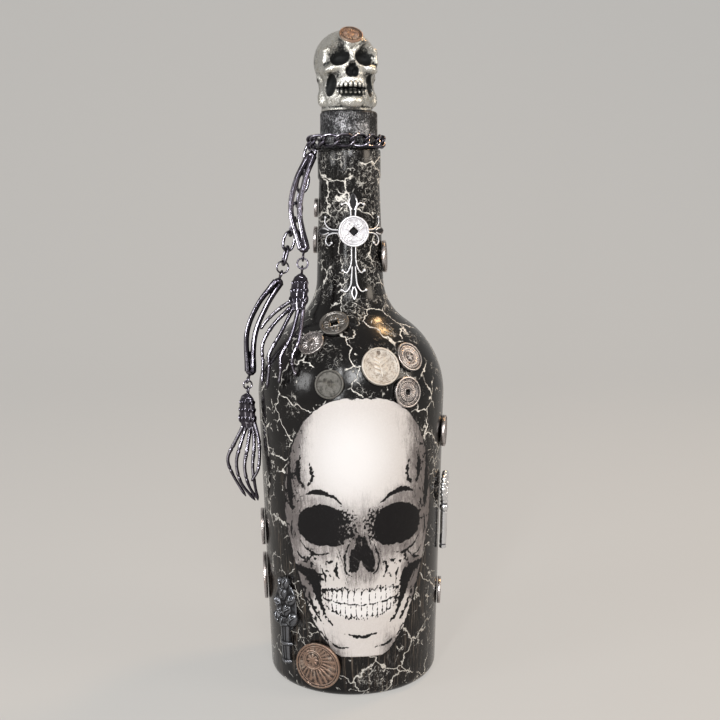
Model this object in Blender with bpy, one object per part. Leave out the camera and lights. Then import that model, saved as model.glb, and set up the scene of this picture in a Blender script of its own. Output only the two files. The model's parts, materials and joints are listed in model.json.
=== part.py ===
"""A glass liqueur bottle dressed as a gothic ornament: a painted bottle with a skull print,
glued coins and charms, a skull on its screw cap, and a chain round the neck from which two
skeleton arms hang. Metres, +Z up, the bottle's axis on Z, its base on z = 0, its front to -Y."""

import math

import bmesh
import bpy
import numpy as np
from mathutils import Matrix, Vector

MM = 0.001

# Gap that two touching meshes keep
GAP = 0.3 * MM

# Glass bottle
HEEL_RADIUS = 5.0 * MM
BODY_RADIUS = 47.5 * MM
FOOT_TAPER = 4.2 * MM
FOOT_RADIUS = BODY_RADIUS - FOOT_TAPER
SHOULDER_HEIGHT = 147.0 * MM
SHOULDER_CURVE = 45.2 * MM
ROOT_CURVE = 26.0 * MM
NECK_ROOT_RADIUS = 16.8 * MM
NECK_TOP_RADIUS = 15.1 * MM
NECK_LENGTH = 49.44 * MM
COLLAR_RADIUS = 15.75 * MM
COLLAR_HEIGHT = 14.0 * MM
COLLAR_CHAMFER = 0.8 * MM
FINISH_RADIUS = 11.9 * MM
FINISH_HEIGHT = 16.0 * MM
BORE_RADIUS = 9.3 * MM
LIP_ROUND = 0.8 * MM
GLASS_WALL = 3.5 * MM
BASE_THICKNESS = 6.0 * MM
THREAD_PITCH = 3.2 * MM
THREAD_WIRE = 0.8 * MM
THREAD_RISE = 5.6 * MM
THREAD_TURNS = 1.5
THREAD_STEPS = 16

# Heights that follow from the arcs of the shoulder and of the neck's root, which touch
ROOT_REACH = NECK_ROOT_RADIUS + ROOT_CURVE + SHOULDER_CURVE - BODY_RADIUS
ROOT_RISE = math.sqrt((SHOULDER_CURVE + ROOT_CURVE) ** 2 - ROOT_REACH ** 2)
COLLAR_BOTTOM = SHOULDER_HEIGHT + ROOT_RISE + NECK_LENGTH
COLLAR_TOP = COLLAR_BOTTOM + COLLAR_HEIGHT
THREAD_START = COLLAR_TOP + THREAD_RISE
MOUTH_HEIGHT = COLLAR_TOP + FINISH_HEIGHT

# Screw cap, its liner and the tamper band left on the neck
CAP_RADIUS = 14.25 * MM
CAP_BORE_RADIUS = 13.1 * MM
CAP_TOP_THICKNESS = 1.3 * MM
CAP_ROUND = 1.6 * MM
CAP_RIB_DEPTH = 0.3 * MM
CAP_THREAD_WIRE = 0.6 * MM
CAP_RIBS = 20
LINER_RADIUS = 12.4 * MM
LINER_THICKNESS = 0.6 * MM
BAND_BORE_RADIUS = 12.4 * MM
BAND_RADIUS = 14.0 * MM
BAND_HEIGHT = 2.4 * MM

# Skull on the cap
SKULL_HEIGHT = 39.5 * MM
SKULL_HALF_WIDTH = 15.6 * MM
SKULL_TURN = math.radians(11.0)
SKULL_SHIFT = 1.2 * MM
CROWN_COIN_DIAMETER = 11.5 * MM
CROWN_COIN_TILT = math.radians(45.0)

# Skull print pasted on the front
PRINT_BOTTOM = 22.0 * MM
PRINT_HEIGHT = 130.0 * MM
PRINT_HALF_WIDTH = 41.0 * MM
PRINT_THICKNESS = 0.3 * MM
PRINT_ACROSS = 4.56 * MM
PRINT_COLUMNS = 12

# Coins and charms glued to the glass. Their places across are arc lengths from the front
COIN_DIAMETER = 14.6 * MM
COIN_THICKNESS = 1.7 * MM
COIN_RIM = 0.8 * MM
COIN_SINK = 0.35 * MM
COIN_HOLE = 3.4 * MM
COIN_DARK_HOLE = 2.6 * MM
CROSS_COIN_DIAMETER = 15.0 * MM
CROSS_COIN_TURN = 45.0
CROSS_WIRE = 0.85 * MM
CROSS_HEIGHT = 53.0 * MM
CROSS_HALF_SPAN = 20.0 * MM
CROSS_DROP = 26.0 * MM
CROSS_CENTRE_HEIGHT = COLLAR_BOTTOM - CROSS_DROP
CROSS_AZIMUTH = 6.0
CREST_HEIGHT = 47.0 * MM
CREST_WIDTH = 19.0 * MM
CREST_DEPTH = 4.4 * MM
CREST_STEP = 0.06 * MM
CREST_BOTTOM = 13.5 * MM
CREST_ACROSS = -36.3 * MM
KEY_LENGTH = 41.5 * MM
KEY_BOTTOM = 66.0 * MM
KEY_SHAFT_RADIUS = 1.85 * MM
KEY_COLLAR_RADIUS = 2.3 * MM
KEY_BOW_RADIUS = 7.0 * MM
KEY_BOW_WIRE = 1.7 * MM
KEY_ACROSS = 62.24 * MM

# Chain round the neck
LINK_WIRE = 0.75 * MM
LINK_HALF_LENGTH = 4.75 * MM
LINK_HALF_WIDTH = 2.75 * MM
LINK_PLAY = 0.5 * MM
LINK_TWIST = math.radians(48.0)
CHAIN_PLACES = 15
CHAIN_HEIGHT = COLLAR_TOP + GAP + LINK_HALF_WIDTH + LINK_WIRE
CHAIN_SHIFT = 1.4 * MM
CHAIN_AZIMUTH = -74.0

# Skeleton arms and the rings they hang by
EYE_RADIUS = 1.7 * MM
EYE_WIRE = 0.5 * MM
RING_WIRE = 0.45 * MM
WRIST_RING_A_RADIUS = 2.6 * MM
ELBOW_RING_B_RADIUS = 3.0 * MM
WRIST_RING_B_RADIUS = 2.1 * MM
STRAND_LINKS = 8
FOREARM_LENGTH = 56.0 * MM
FOREARM_BOW = 5.5 * MM
BONE_RADIUS = 1.15 * MM
BONE_END_RADIUS = 1.8 * MM
BONE_SPACING = 2.1 * MM
ELBOW_RADIUS = 2.5 * MM
HAND_LENGTH = 58.0 * MM
FINGER_RADIUS = 1.15 * MM
PALM_HALF_WIDTH = 4.4 * MM
PALM_HALF_DEPTH = 2.3 * MM
ARM_A_CLEARANCE = 2.85 * MM
ARM_A_ROLL = math.radians(4.5)
HAND_A_TURN = math.radians(-25.0)
ARM_B_AZIMUTH = -72.0
CHAIN_B_LEAN = math.radians(15.0)
ARM_B_CLEARANCE = 5.49 * MM
HAND_B_TURN = math.radians(-45.0)

# Roundness
GLASS_SEGMENTS = 36
CAP_SEGMENTS = 2 * CAP_RIBS
COIN_SEGMENTS = 20
BAND_SEGMENTS = 24

# Outline of the skull print: height and half width, chin to crown, as shares of its size
PRINT_OUTLINE_SHARES = (
    (0.000, 0.26), (0.020, 0.36), (0.060, 0.46), (0.110, 0.56), (0.175, 0.66), (0.250, 0.75),
    (0.340, 0.84), (0.430, 0.93), (0.550, 1.00), (0.680, 0.98), (0.780, 0.90), (0.860, 0.79),
    (0.915, 0.67), (0.950, 0.55), (0.975, 0.43), (0.990, 0.31), (1.000, 0.19),
)

# Glued coins: name, the height they are measured from, then place across, place up and
# diameter as shares of the usual coin's diameter, kind of hole, turn
COINS_SHARES = (
    ("shoulder_coin_square_hole", SHOULDER_HEIGHT, -0.523, 2.534, 1.000, "square", 20.0),
    ("shoulder_coin_behind_hand", SHOULDER_HEIGHT, -1.317, 1.952, 0.890, "none", 0.0),
    ("shoulder_coin_large", SHOULDER_HEIGHT, 0.957, 1.267, 1.288, "none", 0.0),
    ("shoulder_coin_upper_right", SHOULDER_HEIGHT, 2.056, 1.473, 1.000, "none", 0.0),
    ("shoulder_coin_dark_hole", SHOULDER_HEIGHT, 1.914, 0.411, 1.014, "round", 0.0),
    ("shoulder_grey_disc", SHOULDER_HEIGHT, -0.688, 0.753, 0.959, "none", 0.0),
    ("copper_coin", 0.0, -1.174, 1.151, 1.610, "none", 0.0),
    ("left_side_coin_upper", 0.0, -4.669, 5.240, 1.301, "none", 0.0),
    ("left_side_coin_lower", 0.0, -4.588, 3.425, 1.644, "none", 0.0),
    ("right_side_coin_upper", 0.0, 4.487, 8.733, 1.096, "none", 0.0),
    ("right_side_coin_lower", 0.0, 4.456, 2.842, 0.959, "none", 0.0),
    ("neck_coin_left_upper", COLLAR_BOTTOM, -1.713, -0.993, 0.651, "none", 0.0),
    ("neck_coin_left_lower", COLLAR_BOTTOM, -1.775, -2.089, 0.925, "none", 0.0),
    ("neck_coin_right", COLLAR_BOTTOM, 1.650, -2.671, 1.096, "square", 45.0),
)
COPPER_COINS = ("copper_coin",)
COINS_OVER_PRINT = ("copper_coin",)

# Fingers of each hand: centre lines in the hand's own axes (across, depth, down the hand),
# as shares of the hand's length
FINGERS_A_SHARES = (
    ((-0.08, 0.00, 0.32), (-0.22, -0.03, 0.48), (-0.30, -0.03, 0.64), (-0.30, 0.00, 0.80),
     (-0.31, 0.03, 0.97)),
    ((-0.05, 0.00, 0.32), (-0.14, -0.03, 0.55), (-0.22, -0.04, 0.72), (-0.23, -0.01, 0.85),
     (-0.26, 0.03, 1.00)),
    ((0.00, 0.00, 0.32), (-0.04, -0.03, 0.58), (-0.11, -0.04, 0.74), (-0.12, -0.01, 0.86),
     (-0.15, 0.03, 0.96)),
    ((0.04, 0.00, 0.32), (0.04, -0.03, 0.60), (0.00, -0.04, 0.74), (-0.01, -0.01, 0.82),
     (0.01, 0.03, 0.90)),
    ((-0.03, 0.00, 0.24), (-0.17, 0.00, 0.32), (-0.28, 0.00, 0.41), (-0.36, 0.01, 0.50)),
)
FINGERS_B_SHARES = (
    ((-0.05, 0.00, 0.32), (-0.13, -0.03, 0.48), (-0.20, -0.04, 0.63), (-0.17, -0.01, 0.78),
     (-0.07, 0.04, 0.98)),
    ((-0.02, 0.00, 0.32), (-0.06, -0.04, 0.48), (-0.09, -0.07, 0.65), (-0.06, -0.05, 0.83),
     (0.04, 0.02, 1.00)),
    ((0.02, 0.00, 0.32), (0.01, -0.04, 0.50), (0.00, -0.08, 0.67), (0.02, -0.06, 0.83),
     (0.06, 0.00, 0.97)),
    ((0.05, 0.00, 0.32), (0.07, -0.03, 0.50), (0.07, -0.06, 0.66), (0.08, -0.05, 0.82),
     (0.08, 0.00, 0.99)),
    ((0.05, 0.00, 0.26), (0.11, -0.02, 0.42), (0.13, -0.04, 0.58), (0.12, -0.06, 0.70),
     (0.06, -0.07, 0.80)),
)
FINGER_SWELL_SHARES = (1.15, 0.85, 1.20, 0.85, 1.05, 0.75, 0.45)

# Cross on the neck: wires as (across, up) shares of the half span and of the height
CROSS_WIRES_SHARES = (
    ((-0.05, -0.34), (-0.055, -0.17), (-0.06, 0.00), (-0.06, 0.16), (-0.12, 0.24),
     (-0.24, 0.265)),
    ((0.05, -0.34), (0.055, -0.17), (0.06, 0.00), (0.06, 0.16), (0.12, 0.24),
     (0.24, 0.265)),
    ((0.00, -0.02), (0.00, 0.10), (0.00, 0.22), (0.00, 0.35)),
    ((-0.05, -0.12), (-0.06, -0.26), (-0.12, -0.33), (-0.24, -0.32)),
    ((0.05, -0.12), (0.06, -0.26), (0.12, -0.33), (0.24, -0.32)),
    ((0.00, -0.20), (0.00, -0.40), (0.00, -0.62)),
    ((-0.02, -0.42), (-0.05, -0.52), (-0.14, -0.58), (-0.27, -0.58)),
    ((0.02, -0.42), (0.05, -0.52), (0.14, -0.58), (0.27, -0.58)),
    ((0.00, 0.00), (-0.30, 0.00), (-0.60, 0.00), (-1.00, 0.00)),
    ((0.00, 0.00), (0.30, 0.00), (0.60, 0.00), (1.00, 0.00)),
    ((-0.40, 0.00), (-0.60, 0.03), (-0.75, 0.12)),
    ((-0.40, 0.00), (-0.60, -0.03), (-0.72, -0.13)),
    ((0.40, 0.00), (0.60, 0.03), (0.75, 0.12)),
    ((0.40, 0.00), (0.60, -0.03), (0.72, -0.13)),
)

# Lobes of the crest: across, up and radius as shares of its width, height and width
CREST_LOBES_SHARES = (
    (-0.30, 0.50, 0.19), (0.27, 0.52, 0.21), (-0.10, 0.46, 0.17), (0.10, 0.62, 0.20),
    (-0.26, 0.68, 0.17), (-0.02, 0.80, 0.20), (0.24, 0.74, 0.17), (0.05, 0.91, 0.16),
)
CREST_STEM_SHARES = ((0.00, 0.14), (0.04, 0.19), (0.20, 0.19), (0.22, 0.25), (0.26, 0.25),
                     (0.28, 0.19), (0.52, 0.20))
CREST_BACK_SHARES = (0.00, 0.65, 0.47)
CREST_LOBE_RISE_SHARE = 0.55

# How far a link's oval fills out towards a rectangle: 1 is an ellipse, less is fuller
LINK_FULLNESS_SHARE = 0.8

# Rounded masses and hollows of the cast skull: middle and half sizes, as shares of its height
CRANIUM_SHARES = ((0.0, 0.04, 0.615), (0.385, 0.465, 0.385))
FACE_SHARES = ((0.0, -0.15, 0.36), (0.33, 0.30, 0.36))
JAW_SHARES = ((0.0, -0.16, 0.13), (0.33, 0.285, 0.26))
THROAT_SHARES = ((0.0, 0.02, 0.06), (0.32, 0.30, 0.34))
CHEEK_SHARES = ((0.28, -0.24, 0.44), (0.10, 0.12, 0.07))
SOCKET_SHARES = ((0.160, -0.44, 0.625), (0.120, 0.16, 0.095))
TEMPLE_SHARES = ((0.355, -0.27, 0.28), (0.055, 0.13, 0.12))
NOSE_SHARES = ((0.0, -0.45, 0.485), (0.065, 0.13, 0.080))
SKULL_MIDDLE_SHARE = 0.46
SKULL_BLEND_SHARE = 0.09
SKULL_EDGE_SHARE = 0.03

# Profile of one lobe of the crest, as shares of its radius and its rise
LOBE_SHARES = ((0.0, 0.0), (1.0, 0.0), (0.85, 0.6), (0.45, 0.95), (0.0, 1.0))

# Line of a forearm's bone: shares of the spacing, the bow and the length
BONE_LINE_SHARES = ((1.0, 0.8, 0.32), (1.0, 1.0, 0.60))
BONE_ROOT_SHARE = 0.6
KNUCKLE_FLAT_SHARE = 0.8

# Palm: place down the hand as a share of its length, and share of the half width
PALM_SHARES = ((0.09, 0.85), (0.20, 1.0), (0.36, 0.8))
PALM_NECK_SHARE = 0.18

# Wire left at the ends of a thread and of the cross's wires
THREAD_END_SHARE = 0.5
CROSS_END_SHARE = 0.7

# Collar of the key, from the shaft's tip, as shares of its length
KEY_COLLAR_SHARES = (0.50, 0.62)


def clear_scene():
    """Remove whatever the file holds."""
    for obj in list(bpy.data.objects):
        bpy.data.objects.remove(obj)


def finish(name, colour, roughness, metallic):
    """A plain surface finish."""
    material = bpy.data.materials.new(name)
    material.use_nodes = True
    shader = material.node_tree.nodes["Principled BSDF"]
    shader.inputs["Base Color"].default_value = (*colour, 1.0)
    shader.inputs["Roughness"].default_value = roughness
    shader.inputs["Metallic"].default_value = metallic
    return material


def mesh_object(name, vertices, faces, material=None, sharp=40.0):
    """A closed mesh with its faces turned outwards."""
    mesh = bpy.data.meshes.new(name)
    shape = bmesh.new()
    points = [shape.verts.new(vertex) for vertex in vertices]
    for face in faces:
        shape.faces.new([points[index] for index in face])
    bmesh.ops.recalc_face_normals(shape, faces=shape.faces[:])
    shape.to_mesh(mesh)
    shape.free()
    mesh.shade_smooth()
    mesh.set_sharp_from_angle(angle=math.radians(sharp))
    return place_mesh(name, mesh, material)


def place_mesh(name, mesh, material=None):
    """One object for a mesh, which other objects may share."""
    if material is not None and not mesh.materials:
        mesh.materials.append(material)
    obj = bpy.data.objects.new(name, mesh)
    bpy.context.scene.collection.objects.link(obj)
    return obj


def guide(name, matrix):
    """An empty that carries pieces."""
    empty = bpy.data.objects.new(name, None)
    bpy.context.scene.collection.objects.link(empty)
    empty.matrix_world = matrix
    return empty


def carry(obj, parent, matrix=Matrix.Identity(4)):
    """Place an object in its parent's own axes."""
    obj.parent = parent
    obj.matrix_local = matrix
    return obj


def settle(obj, parent, matrix):
    """Place an object in the world and let its parent carry it."""
    return carry(obj, parent, parent.matrix_world.inverted() @ matrix)


def unite(body, *pieces):
    """Join further closed shapes to a body, so that they make one solid."""
    for piece in pieces:
        piece.hide_render = True
        piece.display_type = "WIRE"
        piece.parent = body
        join = body.modifiers.new(piece.name, "BOOLEAN")
        join.operation = "UNION"
        join.object = piece
    return body


def smooth_curve(points, count):
    """Evenly spread points on a smooth curve through the given ones."""
    knots = [Vector(point) for point in points]
    knots = [2 * knots[0] - knots[1]] + knots + [2 * knots[-1] - knots[-2]]
    curve = []
    for index in range(count):
        place = index * (len(points) - 1) / (count - 1)
        start = min(int(place), len(points) - 2)
        share = place - start
        before, first, second, after = knots[start:start + 4]
        curve.append(0.5 * (2 * first + (second - before) * share
                            + (2 * before - 5 * first + 4 * second - after) * share ** 2
                            + (3 * first - before - 3 * second + after) * share ** 3))
    return curve


def tube(name, path, radii, sides, material=None, closed=False, flat_share=1.0,
         side_hint=Vector((0.0, 0.0, 1.0))):
    """A wire or limb along a path. flat_share squeezes it across side_hint."""
    path = [Vector(point) for point in path]
    count = len(path)
    vertices, faces = [], []
    for index, point in enumerate(path):
        if closed:
            ahead = path[(index + 1) % count] - path[index - 1]
        else:
            ahead = path[min(index + 1, count - 1)] - path[max(index - 1, 0)]
        ahead.normalize()
        across = side_hint.cross(ahead).normalized()
        over = ahead.cross(across)
        for side in range(sides):
            angle = 2 * math.pi * (side + 0.5) / sides
            reach = across * math.cos(angle) + over * math.sin(angle) * flat_share
            vertices.append(point + reach * radii[index])
    for index in range(count if closed else count - 1):
        for side in range(sides):
            here, there = index * sides, (index + 1) % count * sides
            beside = (side + 1) % sides
            faces.append((here + side, here + beside, there + beside, there + side))
    if not closed:
        faces.append(tuple(range(sides)))
        faces.append(tuple(range((count - 1) * sides, count * sides)))
    return mesh_object(name, vertices, faces, material, sharp=75.0)


def lathe(name, profile, segments, material=None, ribs=0.0, rib_radius=None):
    """A turned solid from a closed profile of (radius, height). Rings at rib_radius or
    beyond are drawn in on every other segment by the depth of the ribs."""
    vertices, faces, rings = [], [], []
    for radius, height in profile:
        if radius == 0:
            rings.append([len(vertices)] * segments)
            vertices.append((0.0, 0.0, height))
            continue
        rings.append(list(range(len(vertices), len(vertices) + segments)))
        for segment in range(segments):
            angle = 2 * math.pi * segment / segments
            ribbed = rib_radius is not None and radius >= rib_radius and segment % 2
            reach = radius - (ribs if ribbed else 0)
            vertices.append((reach * math.sin(angle), -reach * math.cos(angle), height))
    loop = len(profile) if profile[0][0] else len(profile) - 1
    for index in range(loop):
        lower, upper = rings[index], rings[(index + 1) % len(rings)]
        for segment in range(segments):
            beside = (segment + 1) % segments
            corners = (lower[segment], lower[beside], upper[beside], upper[segment])
            faces.append(tuple(dict.fromkeys(corners)))
    return mesh_object(name, vertices, faces, material)


def arc(centre, radius, start, end, steps):
    """Points (radius, height) on a circle between two angles in degrees, ends included."""
    angles = [math.radians(start + (end - start) * step / steps) for step in range(steps + 1)]
    return [(centre[0] + radius * math.cos(angle), centre[1] + radius * math.sin(angle))
            for angle in angles]


def shoulder_centres():
    """Centres of the shoulder's and the neck root's arcs, which touch, and their angle."""
    shoulder = (BODY_RADIUS - SHOULDER_CURVE, SHOULDER_HEIGHT)
    root = (NECK_ROOT_RADIUS + ROOT_CURVE, SHOULDER_HEIGHT + ROOT_RISE)
    return shoulder, root, math.degrees(math.atan2(ROOT_RISE, ROOT_REACH))


def outer_profile():
    """The glass from the rim of its base up to the foot of the finish."""
    shoulder, root, meet = shoulder_centres()
    heel = arc((FOOT_RADIUS - HEEL_RADIUS, HEEL_RADIUS), HEEL_RADIUS, -90, 0, 3)
    return (heel + arc(shoulder, SHOULDER_CURVE, 0, meet, 7)
            + arc(root, ROOT_CURVE, 180 + meet, 180, 5)[1:]
            + [(NECK_TOP_RADIUS, COLLAR_BOTTOM - COLLAR_CHAMFER),
               (COLLAR_RADIUS, COLLAR_BOTTOM),
               (COLLAR_RADIUS, COLLAR_TOP - COLLAR_CHAMFER),
               (COLLAR_RADIUS - COLLAR_CHAMFER, COLLAR_TOP)])


def inner_profile():
    """The hollow of the glass, from the mouth down to the base."""
    shoulder, root, meet = shoulder_centres()
    neck = (root[0] - ROOT_CURVE - GLASS_WALL, root[1])
    heel = (FOOT_RADIUS - GLASS_WALL - HEEL_RADIUS, BASE_THICKNESS + HEEL_RADIUS)
    return ([(BORE_RADIUS, MOUTH_HEIGHT), (BORE_RADIUS, COLLAR_TOP),
             (NECK_TOP_RADIUS - GLASS_WALL, COLLAR_BOTTOM), neck]
            + arc(root, ROOT_CURVE + GLASS_WALL, 180, 180 + meet, 4)[1:]
            + arc(shoulder, SHOULDER_CURVE - GLASS_WALL, meet, 0, 5)[1:]
            + arc(heel, HEEL_RADIUS, 0, -90, 2) + [(0.0, BASE_THICKNESS)])


def glass_radius(height):
    """Outer radius of the glass at a height."""
    profile = outer_profile()
    heights = [point[1] for point in profile]
    return float(np.interp(height, heights, [point[0] for point in profile]))


def glass_lean(height, reach):
    """Angle by which the glass leans in at a height, over a piece of that reach."""
    rise = glass_radius(height - reach) - glass_radius(height + reach)
    return math.atan2(rise, 2 * reach)


def facing(azimuth):
    """Horizontal direction of an azimuth in degrees, 0 to the front, 90 to +X."""
    angle = math.radians(azimuth)
    return Vector((math.sin(angle), -math.cos(angle), 0.0))


def azimuth_at(across, height):
    """Azimuth in degrees of a place on the glass, by arc length from the front."""
    return math.degrees(across / glass_radius(height))


def swell_under(height, reach, lean):
    """How far the glass rises above a flat back of that reach, where it curves outwards."""
    rises = []
    for share in (-1.0, -0.75, -0.5, -0.25, 0.0, 0.25, 0.5, 0.75, 1.0):
        step = share * reach * math.cos(lean)
        out = glass_radius(height + step) - glass_radius(height)
        rises.append(out * math.cos(lean) + step * math.sin(lean))
    return max(rises)


def seat(azimuth, height, lift, reach, turn=0.0):
    """A place on the glass: own +Z out of the glass, own +Y up along it."""
    lean = glass_lean(height, reach)
    lift += swell_under(height, reach, lean)
    upright = Matrix.Rotation(math.radians(azimuth), 4, "Z") @ Matrix.Rotation(
        math.pi / 2, 4, "X") @ Matrix.Rotation(-lean, 4, "X")
    spot = facing(azimuth) * glass_radius(height) + Vector((0.0, 0.0, height))
    outwards = upright.to_3x3() @ Vector((0.0, 0.0, lift))
    return Matrix.Translation(spot + outwards) @ upright @ Matrix.Rotation(
        math.radians(turn), 4, "Z")


def helix(name, radius, start, turns, wire):
    """A screw thread's ridge, which fades at both ends."""
    count = round(THREAD_STEPS * turns) + 1
    path, radii = [], []
    for index in range(count):
        angle = 2 * math.pi * index / THREAD_STEPS
        height = start + THREAD_PITCH * index / THREAD_STEPS
        path.append((radius * math.cos(angle), radius * math.sin(angle), height))
        radii.append(wire * (THREAD_END_SHARE if index in (0, count - 1) else 1.0))
    return tube(name, path, radii, 6)


def build_bottle(glass):
    """The glass with its hollow, its neck bore and the screw thread of its finish."""
    finish_top = MOUTH_HEIGHT - LIP_ROUND
    profile = ([(0.0, 0.0)] + outer_profile() + [(FINISH_RADIUS, COLLAR_TOP),
               (FINISH_RADIUS, finish_top), (FINISH_RADIUS - LIP_ROUND, MOUTH_HEIGHT)]
               + inner_profile())
    bottle = lathe("glass_bottle", profile, GLASS_SEGMENTS, glass)
    unite(bottle, helix("bottle_thread", FINISH_RADIUS, THREAD_START, THREAD_TURNS, THREAD_WIRE))


def build_band(material):
    """The tamper band, which stays on the neck when the cap is unscrewed."""
    low = COLLAR_TOP + GAP
    high = low + BAND_HEIGHT
    profile = [(BAND_BORE_RADIUS, high), (BAND_BORE_RADIUS, low), (BAND_RADIUS, low),
               (BAND_RADIUS, high)]
    lathe("tamper_band", profile, BAND_SEGMENTS, material)


def cap_ceiling():
    """Height of the underside of the cap's top, over the mouth and the liner."""
    return MOUTH_HEIGHT + GAP + LINER_THICKNESS + GAP


def build_liner(liner_white):
    """The disc that seals the mouth."""
    low = MOUTH_HEIGHT + GAP
    high = low + LINER_THICKNESS
    lathe("cap_liner", [(0.0, low), (LINER_RADIUS, low), (LINER_RADIUS, high), (0.0, high)],
          BAND_SEGMENTS, liner_white)


def build_cap(cap_black):
    """The screw cap with its own thread."""
    ceiling = cap_ceiling()
    top = ceiling + CAP_TOP_THICKNESS
    foot = COLLAR_TOP + BAND_HEIGHT + 2 * GAP
    rim = arc((CAP_RADIUS - CAP_ROUND, top - CAP_ROUND), CAP_ROUND, 0, 90, 2)
    profile = ([(0.0, ceiling), (CAP_BORE_RADIUS, ceiling), (CAP_BORE_RADIUS, foot),
                (CAP_RADIUS, foot)] + rim + [(0.0, top)])
    cap = lathe("cap_shell", profile, CAP_SEGMENTS, cap_black, CAP_RIB_DEPTH, CAP_RADIUS)
    start = THREAD_START + THREAD_PITCH / 2
    return unite(cap, helix("cap_thread", CAP_BORE_RADIUS, start, THREAD_TURNS, CAP_THREAD_WIRE))


def soft_union(first, second, blend):
    """Smallest of two distance fields, rounded where they meet."""
    share = np.clip(0.5 + 0.5 * (second - first) / blend, 0, 1)
    return second + (first - second) * share - blend * share * (1 - share)


def ellipsoid_field(points, centre, sizes):
    """Roughly the distance of points from an ellipsoid."""
    scaled = (points - centre) / sizes
    length = np.linalg.norm(scaled, axis=-1)
    return (length - 1) * np.min(sizes)


def skull_field(points):
    """Distance field of a small cast skull, 1 high and facing -Y, its base on z = 0."""
    upper = soft_union(ellipsoid_field(points, *CRANIUM_SHARES),
                       ellipsoid_field(points, *FACE_SHARES), SKULL_BLEND_SHARE)
    lower = soft_union(ellipsoid_field(points, *JAW_SHARES),
                       ellipsoid_field(points, *THROAT_SHARES), SKULL_BLEND_SHARE)
    body = soft_union(upper, lower, SKULL_BLEND_SHARE)
    mirrored = points * np.array((-1.0, 1.0, 1.0))
    for side in (points, mirrored):
        body = soft_union(body, ellipsoid_field(side, *CHEEK_SHARES), SKULL_EDGE_SHARE)
        for hollow_shares in (SOCKET_SHARES, TEMPLE_SHARES):
            hollow = ellipsoid_field(side, *hollow_shares)
            body = -soft_union(-body, hollow, SKULL_EDGE_SHARE)
    return -soft_union(-body, ellipsoid_field(points, *NOSE_SHARES), SKULL_EDGE_SHARE)


def build_skull(cap, pewter):
    """The cast skull on the cap: a globe drawn in to the skull's surface, with a flat base."""
    columns, rows = 28, 20
    centre = np.array((0.0, 0.0, SKULL_MIDDLE_SHARE))
    directions = [(0.0, 0.0, -1.0)]
    for row in range(1, rows):
        tilt = math.pi * row / rows
        for column in range(columns):
            angle = 2 * math.pi * column / columns
            directions.append((math.sin(tilt) * math.cos(angle),
                               math.sin(tilt) * math.sin(angle), -math.cos(tilt)))
    directions.append((0.0, 0.0, 1.0))
    directions = np.array(directions)
    inside, outside = np.zeros(len(directions)), np.ones(len(directions))
    for _ in range(30):
        middle = (inside + outside) / 2
        within = skull_field(centre + directions * middle[:, None]) < 0
        inside, outside = np.where(within, middle, inside), np.where(within, outside, middle)
    points = centre + directions * inside[:, None]
    points[:, 2] = np.maximum(points[:, 2], 0)
    width = SKULL_HALF_WIDTH / np.max(points[:, 0])
    sizes = np.array((width, width, SKULL_HEIGHT / np.max(points[:, 2])))
    last = len(points) - 1
    faces = []
    for column in range(columns):
        beside = (column + 1) % columns
        faces.append((0, 1 + column, 1 + beside))
        for row in range(rows - 2):
            here, there = 1 + row * columns, 1 + (row + 1) * columns
            faces.append((here + column, here + beside, there + beside, there + column))
        ring = 1 + (rows - 2) * columns
        faces.append((last, ring + column, ring + beside))
    skull = mesh_object("stopper_skull", points * sizes, faces, pewter, sharp=60.0)
    spot = Vector((-SKULL_SHIFT, 0.0, cap_ceiling() + CAP_TOP_THICKNESS + GAP))
    return carry(skull, cap, Matrix.Translation(spot) @ Matrix.Rotation(SKULL_TURN, 4, "Z"))


def build_coin(name, diameter, material, hole="none"):
    """A coin or token: raised rim, sunk field, and a square or a round hole if it has one."""
    radius = diameter / 2
    field = COIN_THICKNESS - COIN_SINK
    profile = [(radius, 0.0), (radius, COIN_THICKNESS), (radius - COIN_RIM, COIN_THICKNESS),
               (radius - COIN_RIM - COIN_SINK, field)]
    if hole == "none":
        return lathe(name, [(0.0, 0.0)] + profile + [(0.0, field)], COIN_SEGMENTS, material)
    bore = (COIN_HOLE if hole == "square" else COIN_DARK_HOLE) / 2
    coin = lathe(name, profile + [(bore, field), (bore, 0.0)], COIN_SEGMENTS, material)
    if hole == "square":
        for vertex in coin.data.vertices:
            across, along = vertex.co.x, vertex.co.y
            if math.hypot(across, along) < bore + COIN_SINK:
                stretch = bore / max(abs(across), abs(along))
                vertex.co.x, vertex.co.y = across * stretch, along * stretch
    return coin


def build_coins(silver, copper):
    """The coins glued to the neck, the shoulder and the body."""
    for name, base, across, up, width, hole, turn in COINS_SHARES:
        diameter, height = width * COIN_DIAMETER, base + up * COIN_DIAMETER
        coin = build_coin(name, diameter, copper if name in COPPER_COINS else silver, hole)
        lift = GAP + (PRINT_THICKNESS + GAP if name in COINS_OVER_PRINT else 0)
        coin.matrix_world = seat(azimuth_at(across * COIN_DIAMETER, height), height, lift,
                                 diameter / 2, turn)


def on_neck(across, up, lift):
    """A point on the glass of the neck, by arc length from the cross's centre."""
    height = CROSS_CENTRE_HEIGHT + up
    angle = CROSS_AZIMUTH + math.degrees(across / glass_radius(CROSS_CENTRE_HEIGHT))
    return facing(angle) * (glass_radius(height) + lift) + Vector((0.0, 0.0, height))


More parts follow.
